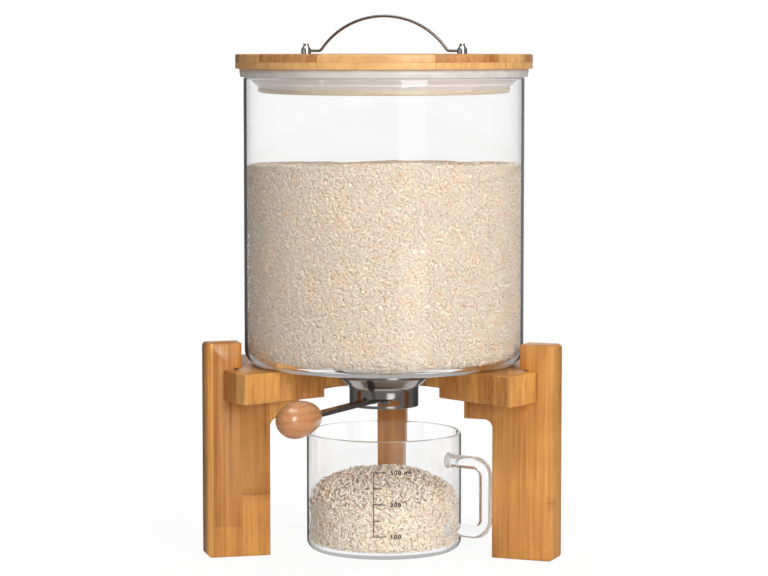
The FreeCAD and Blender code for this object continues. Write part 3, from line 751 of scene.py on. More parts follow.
@dataclass(frozen=True)
class Glass:
    """Clear glass that lets the lamps through, with painted shade where it is seen along its wall and a
    painted glow deep inside it.

    Attributes:
        face: Its colour where it is looked through.
        edge: Its colour where an upright wall is seen along itself: painted shade, given as a grey tint
            and a grey diffuse sheet.
        shadow: Share of each lamp's light that it lets through.
        bending: Its index of refraction.
        painted_glow: Colour of a painted glow, a flat emission that a ray sees after it has been thrown
            back inside the glass three times or more.
    """

    face: Colour
    edge: Colour
    shadow: Colour = (0.93, 0.93, 0.93)
    bending: float = 1.38
    painted_glow: Colour = (0.5, 0.5, 0.5)

    def material(self, name: str) -> Material:
        """Build the glass.

        Args:
            name: The material's name.

        Returns:
            The material.
        """
        material, work, shader = new_material(name)
        path = work.add("ShaderNodeLightPath").outputs
        # Painted shade: where an upright wall is seen along itself, camera rays see a grey tint and a grey
        # diffuse sheet in place of clear glass.
        facing = work.add("ShaderNodeLayerWeight", {"Blend": 0.5}).outputs["Facing"]
        slope = work.split(work.add("ShaderNodeNewGeometry").outputs["Normal"])[2]
        upright = work.ramp(work.math("ABSOLUTE", slope), 0.35, 0.8, 1.0, 0.0)
        edge = work.times(work.times(work.ramp(facing, 0.77, 0.81), upright), path["Is Camera Ray"])
        painted_shade_tint = work.mix(edge, self.face, self.edge)
        polish = work.group("uneven_polish", {"Place": work.place(), "Base": 0.006, "Spread": 0.008})
        work.feed(shader, {
            "Base Color": painted_shade_tint,
            "Roughness": polish["Roughness"],
            "Transmission Weight": 1.0,
            "IOR": self.bending,
        })
        clear = work.add("ShaderNodeBsdfTransparent", {"Color": self.shadow}).outputs[0]
        wall = work.add("ShaderNodeBsdfDiffuse", {"Color": painted_shade_tint}).outputs[0]
        # Painted glow: rays thrown back inside the glass three times or more see a flat emission in place
        # of further bounces.
        painted_glow = work.add("ShaderNodeEmission", {"Color": self.painted_glow}).outputs[0]
        inside = work.math("GREATER_THAN", path["Glossy Depth"], 2.5)
        clean = work.mix_shaders(inside, shader.outputs[0], painted_glow)
        seen = work.mix_shaders(work.times(edge, 0.85), clean, wall)
        both = work.mix_shaders(path["Is Shadow Ray"], seen, clear)
        work.feed(work.find("OUTPUT_MATERIAL"), {"Surface": both})
        return material


@dataclass(frozen=True)
class Beech:
    """Turned hardwood: curved growth lines along the lever, with short dark flecks.

    Attributes:
        turn: The lever's turn about Z in radians, undone before the pattern is laid.
        light: The tone between the growth lines.
        dark: The growth lines' tone.
        fleck: The flecks' tone.
    """

    turn: float
    light: Colour = srgb(206, 144, 94)
    dark: Colour = srgb(176, 112, 66)
    fleck: Colour = srgb(150, 92, 54)

    def material(self, name: str) -> Material:
        """Build the wood.

        Args:
            name: The material's name.

        Returns:
            The material.
        """
        material, work, shader = new_material(name)
        turned = work.lay(work.place(), "Rotation", (0.0, 0.0, -self.turn))
        rings = work.add(
            "ShaderNodeTexWave",
            {
                "Vector": work.lay(turned, "Scale", (0.22, 1.0, 1.0)),
                "Scale": 60.0, "Distortion": 7.0, "Detail": 2.0, "Detail Scale": 1.6,
            },
            wave_type="RINGS", rings_direction="X",
        ).outputs["Fac"]
        flecks = work.ramp(work.noise(work.lay(turned, "Scale", (0.12, 1.0, 1.0)), 1900.0), 0.58, 0.75)
        wood = work.mix(work.times(rings, 0.45), self.light, self.dark)
        work.feed(shader, {
            "Base Color": work.mix(work.times(flecks, 0.35), wood, self.fleck),
            "Roughness": work.ramp(rings, 0.0, 1.0, 0.26, 0.36),
            "Normal": work.bump(flecks, 0.05 * MM, 0.5),
            "Coat Weight": 0.7,
            "Coat Roughness": 0.08,
        })
        return material


@dataclass(frozen=True)
class Silicone:
    """Translucent white silicone with a faint bloom, warmer below the rim, yellowed at its bead.

    Attributes:
        rim: Colour of the flange on the jar's rim.
        skirt: Colour of the skirt below it.
        bloom: Colour of the bloom's patches.
        aged: Colour of the lowest bead.
        rim_height: Height where the flange ends.
        bead_height: Height where the bead ends.
        softness: Half of the height over which one colour turns into the next.
    """

    rim: Colour = srgb(222, 219, 213)
    skirt: Colour = srgb(216, 204, 198)
    bloom: Colour = srgb(198, 194, 188)
    aged: Colour = srgb(176, 158, 128)
    rim_height: float = 334.0 * MM
    bead_height: float = 325.1 * MM
    softness: float = 0.5 * MM

    def material(self, name: str) -> Material:
        """Build the silicone.

        Args:
            name: The material's name.

        Returns:
            The material.
        """
        material, work, shader = new_material(name)
        place = work.place()
        height, soft = work.split(place)[2], self.softness
        flange = work.ramp(height, self.rim_height - soft, self.rim_height + soft)
        bead = work.ramp(height, self.bead_height - soft, self.bead_height + soft, 1.0, 0.0)
        patches = work.ramp(work.noise(place, 70.0, 3.0, 0.6), 0.3, 0.7, 0.0, 0.5)
        skin = work.mix(patches, work.mix(flange, self.skirt, self.rim), self.bloom)
        polish = work.group("uneven_polish", {"Place": place, "Base": 0.38, "Spread": 0.2})
        work.feed(shader, {
            "Base Color": work.mix(work.times(bead, 0.9), skin, self.aged),
            "Roughness": polish["Roughness"],
            "Normal": work.bump(polish["Height"], 0.03 * MM, 0.4),
            "Subsurface Weight": 0.35,
            "Subsurface Radius": (4.0 * MM, 4.0 * MM, 3.5 * MM),
        })
        return material


@dataclass(frozen=True)
class Rice:
    """Raw rice: each grain has its own tone, in warm drifts, with a few tan ones.

    Attributes:
        painted_light: Share of a paler cream laid over every tone, painted light that brightens rice lying
            in shade.
    """

    painted_light: float = 0.0

    def material(self, name: str) -> Material:
        """Build the grains' material.

        Args:
            name: The material's name.

        Returns:
            The material.
        """
        material, work, shader = new_material(name)
        tone = work.add("ShaderNodeAttribute", attribute_name=GRAIN_TONE).outputs["Fac"]
        place = work.place()
        mottle = work.noise(place, 520.0)
        pale = work.mix(work.ramp(mottle, 0.35, 0.7), srgb(214, 204, 192), srgb(204, 191, 175))
        drift = work.ramp(work.noise(place, 62.0, 2.0, 0.6), 0.52, 0.72, 0.0, 0.5)
        warm = work.mix(drift, pale, srgb(232, 198, 160))
        toned = work.mix(work.ramp(tone, 0.0, 0.85), warm, srgb(208, 190, 168))
        toasted = work.mix(work.ramp(tone, 0.93, 1.0), toned, srgb(196, 160, 120))
        # Painted light: the paler cream laid over every tone brightens rice that lies in shade.
        work.feed(shader, {
            "Base Color": work.mix(self.painted_light, toasted, srgb(255, 240, 220)),
            "Roughness": work.ramp(mottle, 0.3, 0.7, 0.42, 0.58),
            "Normal": work.bump(mottle, 0.06 * MM, 0.5),
            "Subsurface Weight": 0.25,
            "Subsurface Radius": (1.6 * MM, 1.2 * MM, 0.9 * MM),
        })
        return material


@dataclass(frozen=True)
class RiceBed:
    """The bed behind the outer grains: cells with painted shade in the gaps, as of grains that lie deeper.

    Attributes:
        grain: Colour of the cells.
        gap: Colour of the gaps, painted shade.
    """

    grain: Colour = srgb(232, 216, 194)
    gap: Colour = srgb(212, 192, 168)

    def material(self, name: str) -> Material:
        """Build the bed's material.

        Args:
            name: The material's name.

        Returns:
            The material.
        """
        material, work, shader = new_material(name)
        cells = work.add("ShaderNodeTexVoronoi", {"Vector": work.place(), "Scale": 330.0})
        # Painted shade: the gaps between the cells are darker, as shade on grains that lie deeper.
        gap = work.ramp(cells.outputs["Distance"], 0.25, 0.75)
        work.feed(shader, {
            "Base Color": work.mix(gap, self.grain, self.gap),
            "Roughness": work.ramp(gap, 0.0, 1.0, 0.5, 0.8),
            "Normal": work.bump(work.minus(1.0, gap), 1.2 * MM),
        })
        return material


@dataclass(frozen=True)
class Ink:
    """Black print fired on the cup, slightly worn.

    Attributes:
        fresh: Colour where it is whole.
        worn: Colour where it is worn.
    """

    fresh: Colour = srgb(22, 22, 24)
    worn: Colour = srgb(58, 58, 60)

    def material(self, name: str) -> Material:
        """Build the print.

        Args:
            name: The material's name.

        Returns:
            The material.
        """
        material, work, shader = new_material(name)
        wear = work.noise(work.place(), 1400.0, 2.0, 0.6)
        work.feed(shader, {
            "Base Color": work.mix(work.ramp(wear, 0.55, 0.8), self.fresh, self.worn),
            "Roughness": work.ramp(wear, 0.3, 0.8, 0.35, 0.6),
        })
        return material


# ---- Sub-assemblies -------------------------------------------------------------------------


def dress(piece: Piece, body: str, slot: Slot, material: Material, *stands_for: str) -> None:
    """Give a new piece its material and its body.

    Args:
        piece: The piece.
        body: The body that it rides on.
        slot: Not used.
        material: Its material.
        *stands_for: The CAD nodes that it stands for.
    """
    piece.data.materials.clear()
    piece.data.materials.append(material)
    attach(piece, body)
    if stands_for:
        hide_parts(*stands_for)


def finish_node(node: str, material: Material) -> None:
    """Give a kept CAD node its material."""
    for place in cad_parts[node].material_slots:
        place.material = material


def scaled(corners: Sequence[Corner]) -> list[Corner]:
    """Turn corners in millimetres into metres."""
    return [tuple(value * MM for value in corner) for corner in corners]


@dataclass
class Stand:
    """The round board and its three legs, which it holds in open slots.

    Attributes:
        board: The board's bamboo.
        legs: Each leg's bamboo.
        edge: Width of the bevel on the board's edges.
    """

    board: Bamboo = Bamboo(Grain.ALONG_Y, strip=9.8 * MM, seed=19211.0, contrast=0.7)
    legs: dict[str, Bamboo] = field(default_factory=lambda: {
        "leg_left": Bamboo(
            Grain.ALONG_Z, math.radians(198.0), 20.0 * MM, seed=26167.0, shift=(-4.9 * MM, 0.0, 0.0),
            breaks=1.0,
        ),
        "leg_right": Bamboo(
            Grain.ALONG_Z, math.radians(342.0), 20.0 * MM, seed=51380.0, contrast=0.3,
            shift=(-24.9 * MM, 0.0, 0.0),
        ),
        "leg_back": Bamboo(Grain.ALONG_Z, math.radians(90.0), 11.7 * MM, seed=25.0, contrast=0.3),
    })
    edge: float = 0.5 * MM

    def build(self) -> None:
        """Build and dress the board and the legs."""
        board = cad_copy("stand_disc", "stand_board", self.edge)
        dress(board, "stand", Slot.BAMBOO, self.board.material("bamboo_board"), "stand_disc")
        for node, wood in self.legs.items():
            leg = cad_copy(node, node.replace("leg", "post_leg"))
            dress(leg, "stand", Slot.BAMBOO, wood.material(f"bamboo_{node}"), node)
        LOG.info("stand: board and %d legs", len(self.legs))


@dataclass
class Jar:
    """The glass jar with its outlet: gaskets, funnel, collar and fixed sector plate.

    Attributes:
        sizes: The glass's sizes.
        rim: Radius of the rim's two edges.
        collar_rim: Radius of the collar's rim, in millimetres like all of the collar's sizes.
        collar_top: Height of the collar's top.
        bore: Radius inside the collar's rim.
        skirt: Outer radius of its skirt.
        skirt_inner: Inner radius of its skirt.
        skirt_low: Height of the skirt's lower edge.
        slot_low: Height of the lever slot's lower edge.
        slot_high: Height of the slot's upper edge.
        slot_middle: Turn of the slot's middle about Z, in degrees.
        slot_half: Half of the slot's length, in degrees.
        slot_steps: Faces along the slot.
        rest_steps: Faces along the rest of the circle.
    """

    sizes: JarSizes = field(default_factory=JarSizes)
    rim: float = 1.35 * MM
    collar_rim: float = 32.5
    collar_top: float = 130.5
    bore: float = 22.3
    skirt: float = 24.5
    skirt_inner: float = 23.3
    skirt_low: float = 102.0
    slot_low: float = 104.0
    slot_high: float = 110.0
    slot_middle: float = 269.5
    slot_half: float = 31.9
    slot_steps: int = 32
    rest_steps: int = 159

    def section(self) -> Array:
        """Return the glass wall's section: out along the base, up, over the rim, down, back.

        Returns:
            Rows of radius and height.
        """
        s = self.sizes
        inner = s.radius - s.wall
        return rounded(
            [
                (s.hole, s.bottom, 0.8 * MM),
                (s.radius, s.bottom, s.corner),
                (s.radius, s.top, self.rim),
                (inner, s.top, self.rim),
                (inner, s.bottom + s.floor, s.corner - s.wall),
                (s.hole, s.bottom + s.floor, 0.8 * MM),
            ],
            10,
        )

    def collar_section(self) -> Array:
        """Return the collar's section, up its outside and down its inside to the seat.

        The seat lies 0.6 mm above the fixed plate. The skirt has a point at each edge of the
        slot, outside and inside.

        Returns:
            Rows of radius and height.
        """
        seat = high("outlet_sector_plate")[2] / MM + 0.6
        return rounded(scaled([
            (self.skirt, self.skirt_low, 0.25), (self.skirt, self.slot_low), (self.skirt, self.slot_high),
            (self.skirt, 115.7, 5.6), (self.collar_rim, 122.7, 2.4),
            (self.collar_rim, self.collar_top, 0.4), (self.bore, self.collar_top), (self.bore, seat),
            (self.skirt_inner, seat), (self.skirt_inner, self.slot_high),
            (self.skirt_inner, self.slot_low), (self.skirt_inner, self.skirt_low),
        ]), 8)

    def collar(self) -> Piece:
        """Turn the collar: (r cos t, r sin t, z), with the lever's slot left out of its skirt.

        The skirt's faces between the slot's edges are left out along the slot. Sills from the
        outer to the inner wall, and an end at each side, close the cut.

        Returns:
            The collar.
        """
        section = self.collar_section()
        out_low, out_high, in_high, in_low = (
            int(np.argmin(np.hypot(*(section - np.array([radius, height]) * MM).T)))
            for radius, height in (
                (self.skirt, self.slot_low), (self.skirt, self.slot_high),
                (self.skirt_inner, self.slot_high), (self.skirt_inner, self.slot_low),
            )
        )
        first, last = self.slot_middle - self.slot_half, self.slot_middle + self.slot_half
        slot = np.linspace(first, last, self.slot_steps + 1)
        rest = np.linspace(last, first + 360.0, self.rest_steps + 1)[1:-1]
        t, rows = np.radians(np.concatenate([slot, rest]))[:, None], len(section)
        radius, height = section[:, 0], np.broadcast_to(section[:, 1], (len(t), rows))
        points = np.stack([np.cos(t) * radius, np.sin(t) * radius, height], -1)
        keep = np.ones((len(t), rows), bool)
        keep[:self.slot_steps, [out_low, in_high]] = False
        wall = grid_faces(len(t), rows, True, True).reshape(len(t), rows, 4)[keep]
        here = np.arange(self.slot_steps) * rows
        there = here + rows
        low_sill, high_sill = (
            np.stack([here + a, here + b, there + b, there + a], -1)
            for a, b in ((in_low, out_low), (in_high, out_high))
        )
        ends = np.array([[0], [self.slot_steps * rows]]) + np.array([out_low, out_high, in_high, in_low])
        faces = np.concatenate([wall, low_sill, high_sill, ends])
        piece = make_piece("outlet_nut", points.reshape(-1, 3), faces)
        mend(piece)
        piece.data.set_sharp_from_angle(angle=math.radians(35.0))
        return piece

    def build(self, glass: Material, steel: Material, silicone: Material) -> None:
        """Build and dress the jar and its outlet.

        Args:
            glass: The jar's glass.
            steel: The outlet's steel.
            silicone: The gaskets' silicone.
        """
        body = lathe("jar_body", self.section(), 256)
        dress(body, "jar", Slot.GLASS, glass, "jar_glass")
        for node in ("outlet_funnel", "outlet_sector_plate"):
            finish_node(node, steel)
        for node in (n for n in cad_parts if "gasket" in n):
            finish_node(node, silicone)
        dress(self.collar(), "jar", Slot.STEEL, steel, "outlet_collar")
        LOG.info("jar: glass, outlet nut, funnel and gaskets")


@dataclass
class Shutter:
    """The turning disc and its lever with the wooden knob.

    Attributes:
        turn: The lever's turn about Z, in degrees.
        axis_height: Height of the knob's axis.
        thickest: Distance from the jar's axis to the knob's thickest place.
        nose: Reach of the knob's inner half, before it is cut.
        tail: Reach of its outer half.
        radius: Its greatest radius.
        cut: Distance from the jar's axis to its flat inner end.
    """

    turn: float = 247.0
    axis_height: float = 107.4 * MM
    thickest: float = 131.4 * MM
    nose: float = 29.0 * MM
    tail: float = 17.0 * MM
    radius: float = 12.5 * MM
    cut: float = 104.2 * MM

    def knob(self) -> Piece:
        """Turn the knob: its radius is radius * sqrt(1 - u * u).

        Here u is the share of the nose's or the tail's reach, below 0 on the nose. The flat end
        has a small chamfer.

        Returns:
            The knob, along the lever.
        """
        quarter, chamfer = math.pi / 2, 0.25 * MM
        first = (self.thickest - self.cut) / self.nose
        u = np.concatenate([
            -np.cos(np.linspace(math.acos(first), quarter, 40)), np.sin(np.linspace(0.0, quarter, 40))[1:]
        ])
        along = self.thickest + u * np.where(u < 0.0, self.nose, self.tail)
        across = self.radius * np.sqrt(np.clip(1.0 - u * u, 0.0, 1.0))
        flat, start = across[0], along[0]
        lead_in = np.array([[0.0, start], [flat - 0.9 * MM, start], [flat - chamfer, start + chamfer]])
        profile = np.concatenate([lead_in, np.stack([across, along], -1)[2:]])
        piece = lathe("lever_grip", profile, 96, closed=False)
        lay = Matrix.Rotation(math.radians(self.turn), 4, "Z") @ Matrix.Rotation(math.pi / 2, 4, "Y")
        piece.data.transform(Matrix.Translation((0.0, 0.0, self.axis_height)) @ lay)
        return piece

    def build(self, steel: Material, chrome: Material) -> None:
        """Build and dress the disc, lever, fastenings and knob.

        Args:
            steel: The steel of the disc and the lever.
            chrome: The rivets' metal.
        """
        for node in ("shutter_disc", "pivot_screw", "pivot_nut", "knob_stud"):
            finish_node(node, steel)
        bar = cad_copy("lever_arm", "lever_bar", 0.35 * MM)
        dress(bar, "shutter", Slot.STEEL, steel, "lever_arm")
        finish_node("lever_rivets", chrome)
        wood = Beech(math.radians(self.turn)).material("beech_knob")
        dress(self.knob(), "shutter", Slot.BEECH, wood, "lever_knob")
        LOG.info("shutter: disc, bar, rivets and grip")


@dataclass
class Lid:
    """The bamboo lid with its plug, silicone seal and wire bail, in millimetres and degrees.

    Attributes:
        radius: The board's radius.
        bottom: Height of its lower face.
        top: Height of its upper face.
        ply: Height of the joint between its two plies.
        seam: Depth and half width of the groove at the joint.
        edge: Radius of its upper edge.
        turn: The bail's and the strips' turn about Z.
        plug_radius: The plug's radius.
        plug_bottom: Height of the plug's and the seal's lower face.
        bail_rise: Rise of the bail's arc above its feet.
        bail_half: Half of the arc's chord, without its end bends.
        bail_bend: Radius of the end bends.
        bail_end: Reach of the feet.
        bail_height: Height of the feet.
        wire_radius: The wire's radius.
    """

    radius: float = 104.3
    bottom: float = 339.8
    top: float = 350.0
    ply: float = 344.6
    seam: float = 0.28
    edge: float = 1.1
    turn: float = 0.4
    plug_radius: float = 83.95
    plug_bottom: float = 322.1
    bail_rise: float = 24.2
    bail_half: float = 44.5
    bail_bend: float = 3.0
    bail_end: float = 56.2
    bail_height: float = 352.3
    wire_radius: float = 1.0

    def board(self) -> Piece:
        """Turn the lid: two plies with a hairline groove between them and eased edges.

        Returns:
            The board.
        """
        corners = [
            (0.0, self.bottom),
            (self.radius, self.bottom, self.edge * 0.6),
            (self.radius, self.ply - self.seam, 0.1),
            (self.radius - self.seam, self.ply, 0.1),
            (self.radius, self.ply + self.seam, 0.1),
            (self.radius, self.top, self.edge),
            (0.0, self.top),
        ]
        return lathe("lid_top_board", rounded(scaled(corners), 5, closed=False), 256, closed=False)

    def plug(self) -> Piece:
        """Turn the plug board that the seal is stretched round.

        Returns:
            The plug.
        """
        corners = [
            (0.0, self.plug_bottom),
            (self.plug_radius, self.plug_bottom, 0.8),
            (self.plug_radius, self.bottom),
            (0.0, self.bottom),
        ]
        return lathe("lid_plug_board", rounded(scaled(corners), 5, closed=False), 192, closed=False)

    def seal(self) -> Piece:
        """Turn the seal: a bead, a skirt with a shallow rib, and a flange on the jar's rim.

        Returns:
            The seal.
        """
        corners = [
            (84.0, self.plug_bottom, 0.3), (88.65, self.plug_bottom, 1.0), (88.65, 324.9, 0.9),
            (87.95, 325.0, 0.1), (88.3, 325.5, 0.3), (91.9, 328.6, 0.7), (91.7, 329.2, 0.4),
            (95.35, 332.4, 0.6), (95.35, 334.0, 0.2), (100.7, 334.0, 0.6), (100.9, 335.3, 0.2),
            (100.75, 335.5, 0.1), (101.0, 335.8, 0.2), (101.5, self.bottom), (84.0, self.bottom),
        ]
        return lathe("lid_seal_ring", rounded(scaled(corners), 5), 256)

    def wire(self) -> Piece:
        """Bend the bail: straight feet, two small bends and one arc, in the lid's XZ plane.

        The arc's radius is (rise^2 + half^2) / (2 * rise). Each bend's middle lies one bend
        radius above the foot and both radii from the arc's middle, so that the two touch.

        Returns:
            The bail.
        """
        rise, bend = self.bail_rise, self.bail_bend
        big = (rise * rise + self.bail_half * self.bail_half) / (2.0 * rise)
        drop = big + bend - rise
        foot = math.sqrt((big + bend) ** 2 - drop * drop)
        lean = math.degrees(math.atan2(drop, foot))
        path = np.concatenate([
            np.linspace([-self.bail_end, 0.0], [-foot, 0.0], 5)[:-1],
            arc((-foot, bend), bend, -90.0, -lean, 12)[:-1],
            arc((0.0, rise - big), big, 180.0 - lean, lean, 72)[:-1],
            arc((foot, bend), bend, 180.0 + lean, 270.0, 12)[:-1],
            np.linspace([foot, 0.0], [self.bail_end, 0.0], 5),
        ])
        points = np.stack([path[:, 0], np.zeros(len(path)), path[:, 1] + self.bail_height], -1) * MM
        return tube("bail_wire", points, self.wire_radius * MM, np.array([0.0, 1.0, 0.0]), 20)

    def build(self, chrome: Material, wire: Material, silicone: Material) -> None:
        """Build and dress the lid and its bail.

        Args:
            chrome: The posts' metal.
            wire: The bail's metal.
            silicone: The seal's silicone.
        """
        laid = Bamboo(
            Grain.ALONG_X, turn=math.radians(self.turn), strip=31.4 * MM, ply=self.ply * MM,
            seed=1899.0, contrast=0.95, shift=(-2.2 * MM, 0.0, 0.0),
            light=srgb(240, 184, 116), dark=srgb(174, 110, 54),
        )
        dress(self.board(), "lid", Slot.BAMBOO, laid.material("bamboo_lid"), "lid_board")
        dress(self.plug(), "lid", Slot.BAMBOO, laid.material("bamboo_plug"), "lid_plug")
        dress(self.seal(), "lid", Slot.SILICONE, silicone, "lid_seal")
        for node in ("handle_post_left", "handle_post_right"):
            post = cad_copy(node, node.replace("handle", "bail"), 0.2 * MM)
            dress(post, "lid", Slot.CHROME, chrome, node)
        finish_node("handle_post_nuts", chrome)
        dress(self.wire(), "handle", Slot.CHROME, wire, "handle_wire")
        LOG.info("lid: board, plug, seal, posts and bail")


@dataclass
class Cup:
    """The measuring cup: a glass body, a bent glass rod for a handle, and its printed scale.

    Attributes:
        sizes: The glass's sizes.
        print_angle: Turn of the scale's upright line about Z, in degrees.
        film: Thickness of the print.
        tick_heights: Heights of the scale's marks, in millimetres.
        numbers: Each number with its height, in millimetres.
        line_half: Half of a line's width, in millimetres.
        letter_height: Height of the numbers, in millimetres.
    """

    sizes: CupSizes = field(default_factory=CupSizes)
    print_angle: float = -94.0
    film: float = 0.06 * MM
    tick_heights: tuple[float, ...] = (62.0, 50.8, 39.6, 28.3, 17.2)
    numbers: tuple[tuple[str, float], ...] = (("500 ml", 62.0), ("300", 39.6), ("100", 17.2))
    line_half: float = 0.28
    letter_height: float = 3.1

    def body(self) -> Piece:
        """Turn the cup from the axis, out along the base, up, over the rim, down and back.

        Returns:
            The cup's body.
        """
        s = self.sizes
        inner, lip = s.radius - s.wall, s.wall * 0.48
        corners = [
            (0.0, 0.0),
            (s.radius, 0.0, s.corner),
            (s.radius, s.top, lip),
            (inner, s.top, lip),
            (inner, s.floor, s.corner - s.wall),
            (0.0, s.floor),
        ]
        return lathe("cup_body", rounded(corners, 10, closed=False), 256, closed=False)

    def handle(self) -> Piece:
        """Bend the rod in the upright plane through the axis, thicker where it joins the wall.

        At a distance d from the nearer joint its radius is rod * (1 + 0.28 * exp(-(d / 2.2 mm)^2)).

        Returns:
            The handle.
        """
        s = self.sizes
        root = s.radius - 0.5 * s.wall
        corners = [
            (root, s.handle_high),
            (s.handle_reach, s.handle_high, s.handle_bend),
            (s.handle_reach, s.handle_low, s.handle_bend),
            (root, s.handle_low),
        ]
        bends = rounded(corners, 16, closed=False)
        joints = np.linspace(0.0, 1.0, 8)[:, None]
        line = np.concatenate([
            bends[0] + (bends[1] - bends[0]) * joints[:-1], bends[1:-2],
            bends[-2] + (bends[-1] - bends[-2]) * joints,
        ])
        gap = np.minimum(np.hypot(*(line - line[0]).T), np.hypot(*(line - line[-1]).T))
        radius = s.rod * (1.0 + 0.28 * np.exp(-((gap / (2.2 * MM)) ** 2)))
        out = np.array([math.cos(s.handle_angle), math.sin(s.handle_angle), 0.0])
        points = line[:, :1] * out + line[:, 1:] * np.array([0.0, 0.0, 1.0])
        return tube("cup_rod_handle", points, radius, np.cross(out, [0.0, 0.0, 1.0]), 40)

    def on_wall(self, across: Array, up: Array, depth: Array) -> Array:
        """Lay flat points on the cup: the angle is the distance across over the radius.

        Args:
            across: Distances to the right of the scale's line.
            up: Heights.
            depth: Distances from the wall.

        Returns:
            The points, one row each.
        """
        radius = self.sizes.radius + depth
        angle = math.radians(self.print_angle) + across / self.sizes.radius
        return np.stack([radius * np.cos(angle), radius * np.sin(angle), up], -1)

    def bar(self, name: str, left: float, right: float, low_end: float, high_end: float) -> Piece:
        """Make one printed bar, a box curved with the wall, in millimetres across and up.

        Args:
            name: The bar's name.
            left: Its left end.
            right: Its right end.
            low_end: Height of its lower edge.
            high_end: Height of its upper edge.

        Returns:
            The bar.
        """
        section = np.array([[low_end, 0.1], [high_end, 0.1], [high_end, 1.0], [low_end, 1.0]])
        shape = (12, len(section))
        across = np.broadcast_to(np.linspace(left, right, shape[0])[:, None] * MM, shape)
        up = np.broadcast_to(section[:, 0] * MM, shape)
        depth = np.broadcast_to(section[:, 1] * self.film, shape)
        points = self.on_wall(across, up, depth).reshape(-1, 3)
        piece = make_piece(name, points, grid_faces(*shape, False, True), smooth=False)
        mend(piece, fill=True)
        return piece

    def words(self, text: str, left: float, middle: float) -> Piece:
        """Make plain scale numbers as a thin film on the wall, in millimetres across and up.

        Args:
            text: The numbers.
            left: Their left end.
            middle: Height of their middle.

        Returns:
            The numbers, as a mesh.
        """
        height, number = self.letter_height, text[:3]
        curve = bpy.data.curves.new(f"scale_{number}", "FONT")
        curve.body = text
        curve.size = height * MM / 0.7
        curve.extrude = 0.5 * self.film
        curve.space_character = 1.22
        curve.offset = 0.09 * MM
        flat = put_object(curve.name, curve)
        bpy.context.view_layer.update()
        mesh = bpy.data.meshes.new_from_object(flat.evaluated_get(bpy.context.evaluated_depsgraph_get()))
        bpy.data.objects.remove(flat)
        x, y, z = mesh_points(mesh).astype(float).T
        across, up = x + left * MM, y + (middle - 0.5 * height) * MM
        move_points(mesh, self.on_wall(across, up, z + 0.55 * self.film))
        return put_object(f"cup_number_{number}", mesh)

    def build(self, glass: Material, rod: Material) -> None:
        """Build and dress the cup, its handle and its scale.

        Args:
            glass: The body's glass.
            rod: The handle's glass.
        """
        dress(self.body(), "cup", Slot.GLASS, glass, "cup_glass")
        dress(self.handle(), "cup", Slot.GLASS, rod, "cup_glass")
        ink = Ink().material("scale_print")
        half, foot = self.line_half, 0.3
        ends = (self.tick_heights[-1] - foot, self.tick_heights[0] + foot)
        marks = [self.bar("cup_scale_line", -half, half, *ends)]
        for number, height in enumerate(self.tick_heights):
            reach = 8.6 if number % 2 == 0 else 5.0
            marks.append(self.bar(f"cup_scale_tick_{number}", half, reach, height - foot, height + foot))
        for text, height in self.numbers:
            marks.append(self.words(text, 11.4, height))
        for mark in marks:
            dress(mark, "cup", Slot.GLASS, ink)
        LOG.info("cup: body, rod handle and %d printed marks", len(marks))


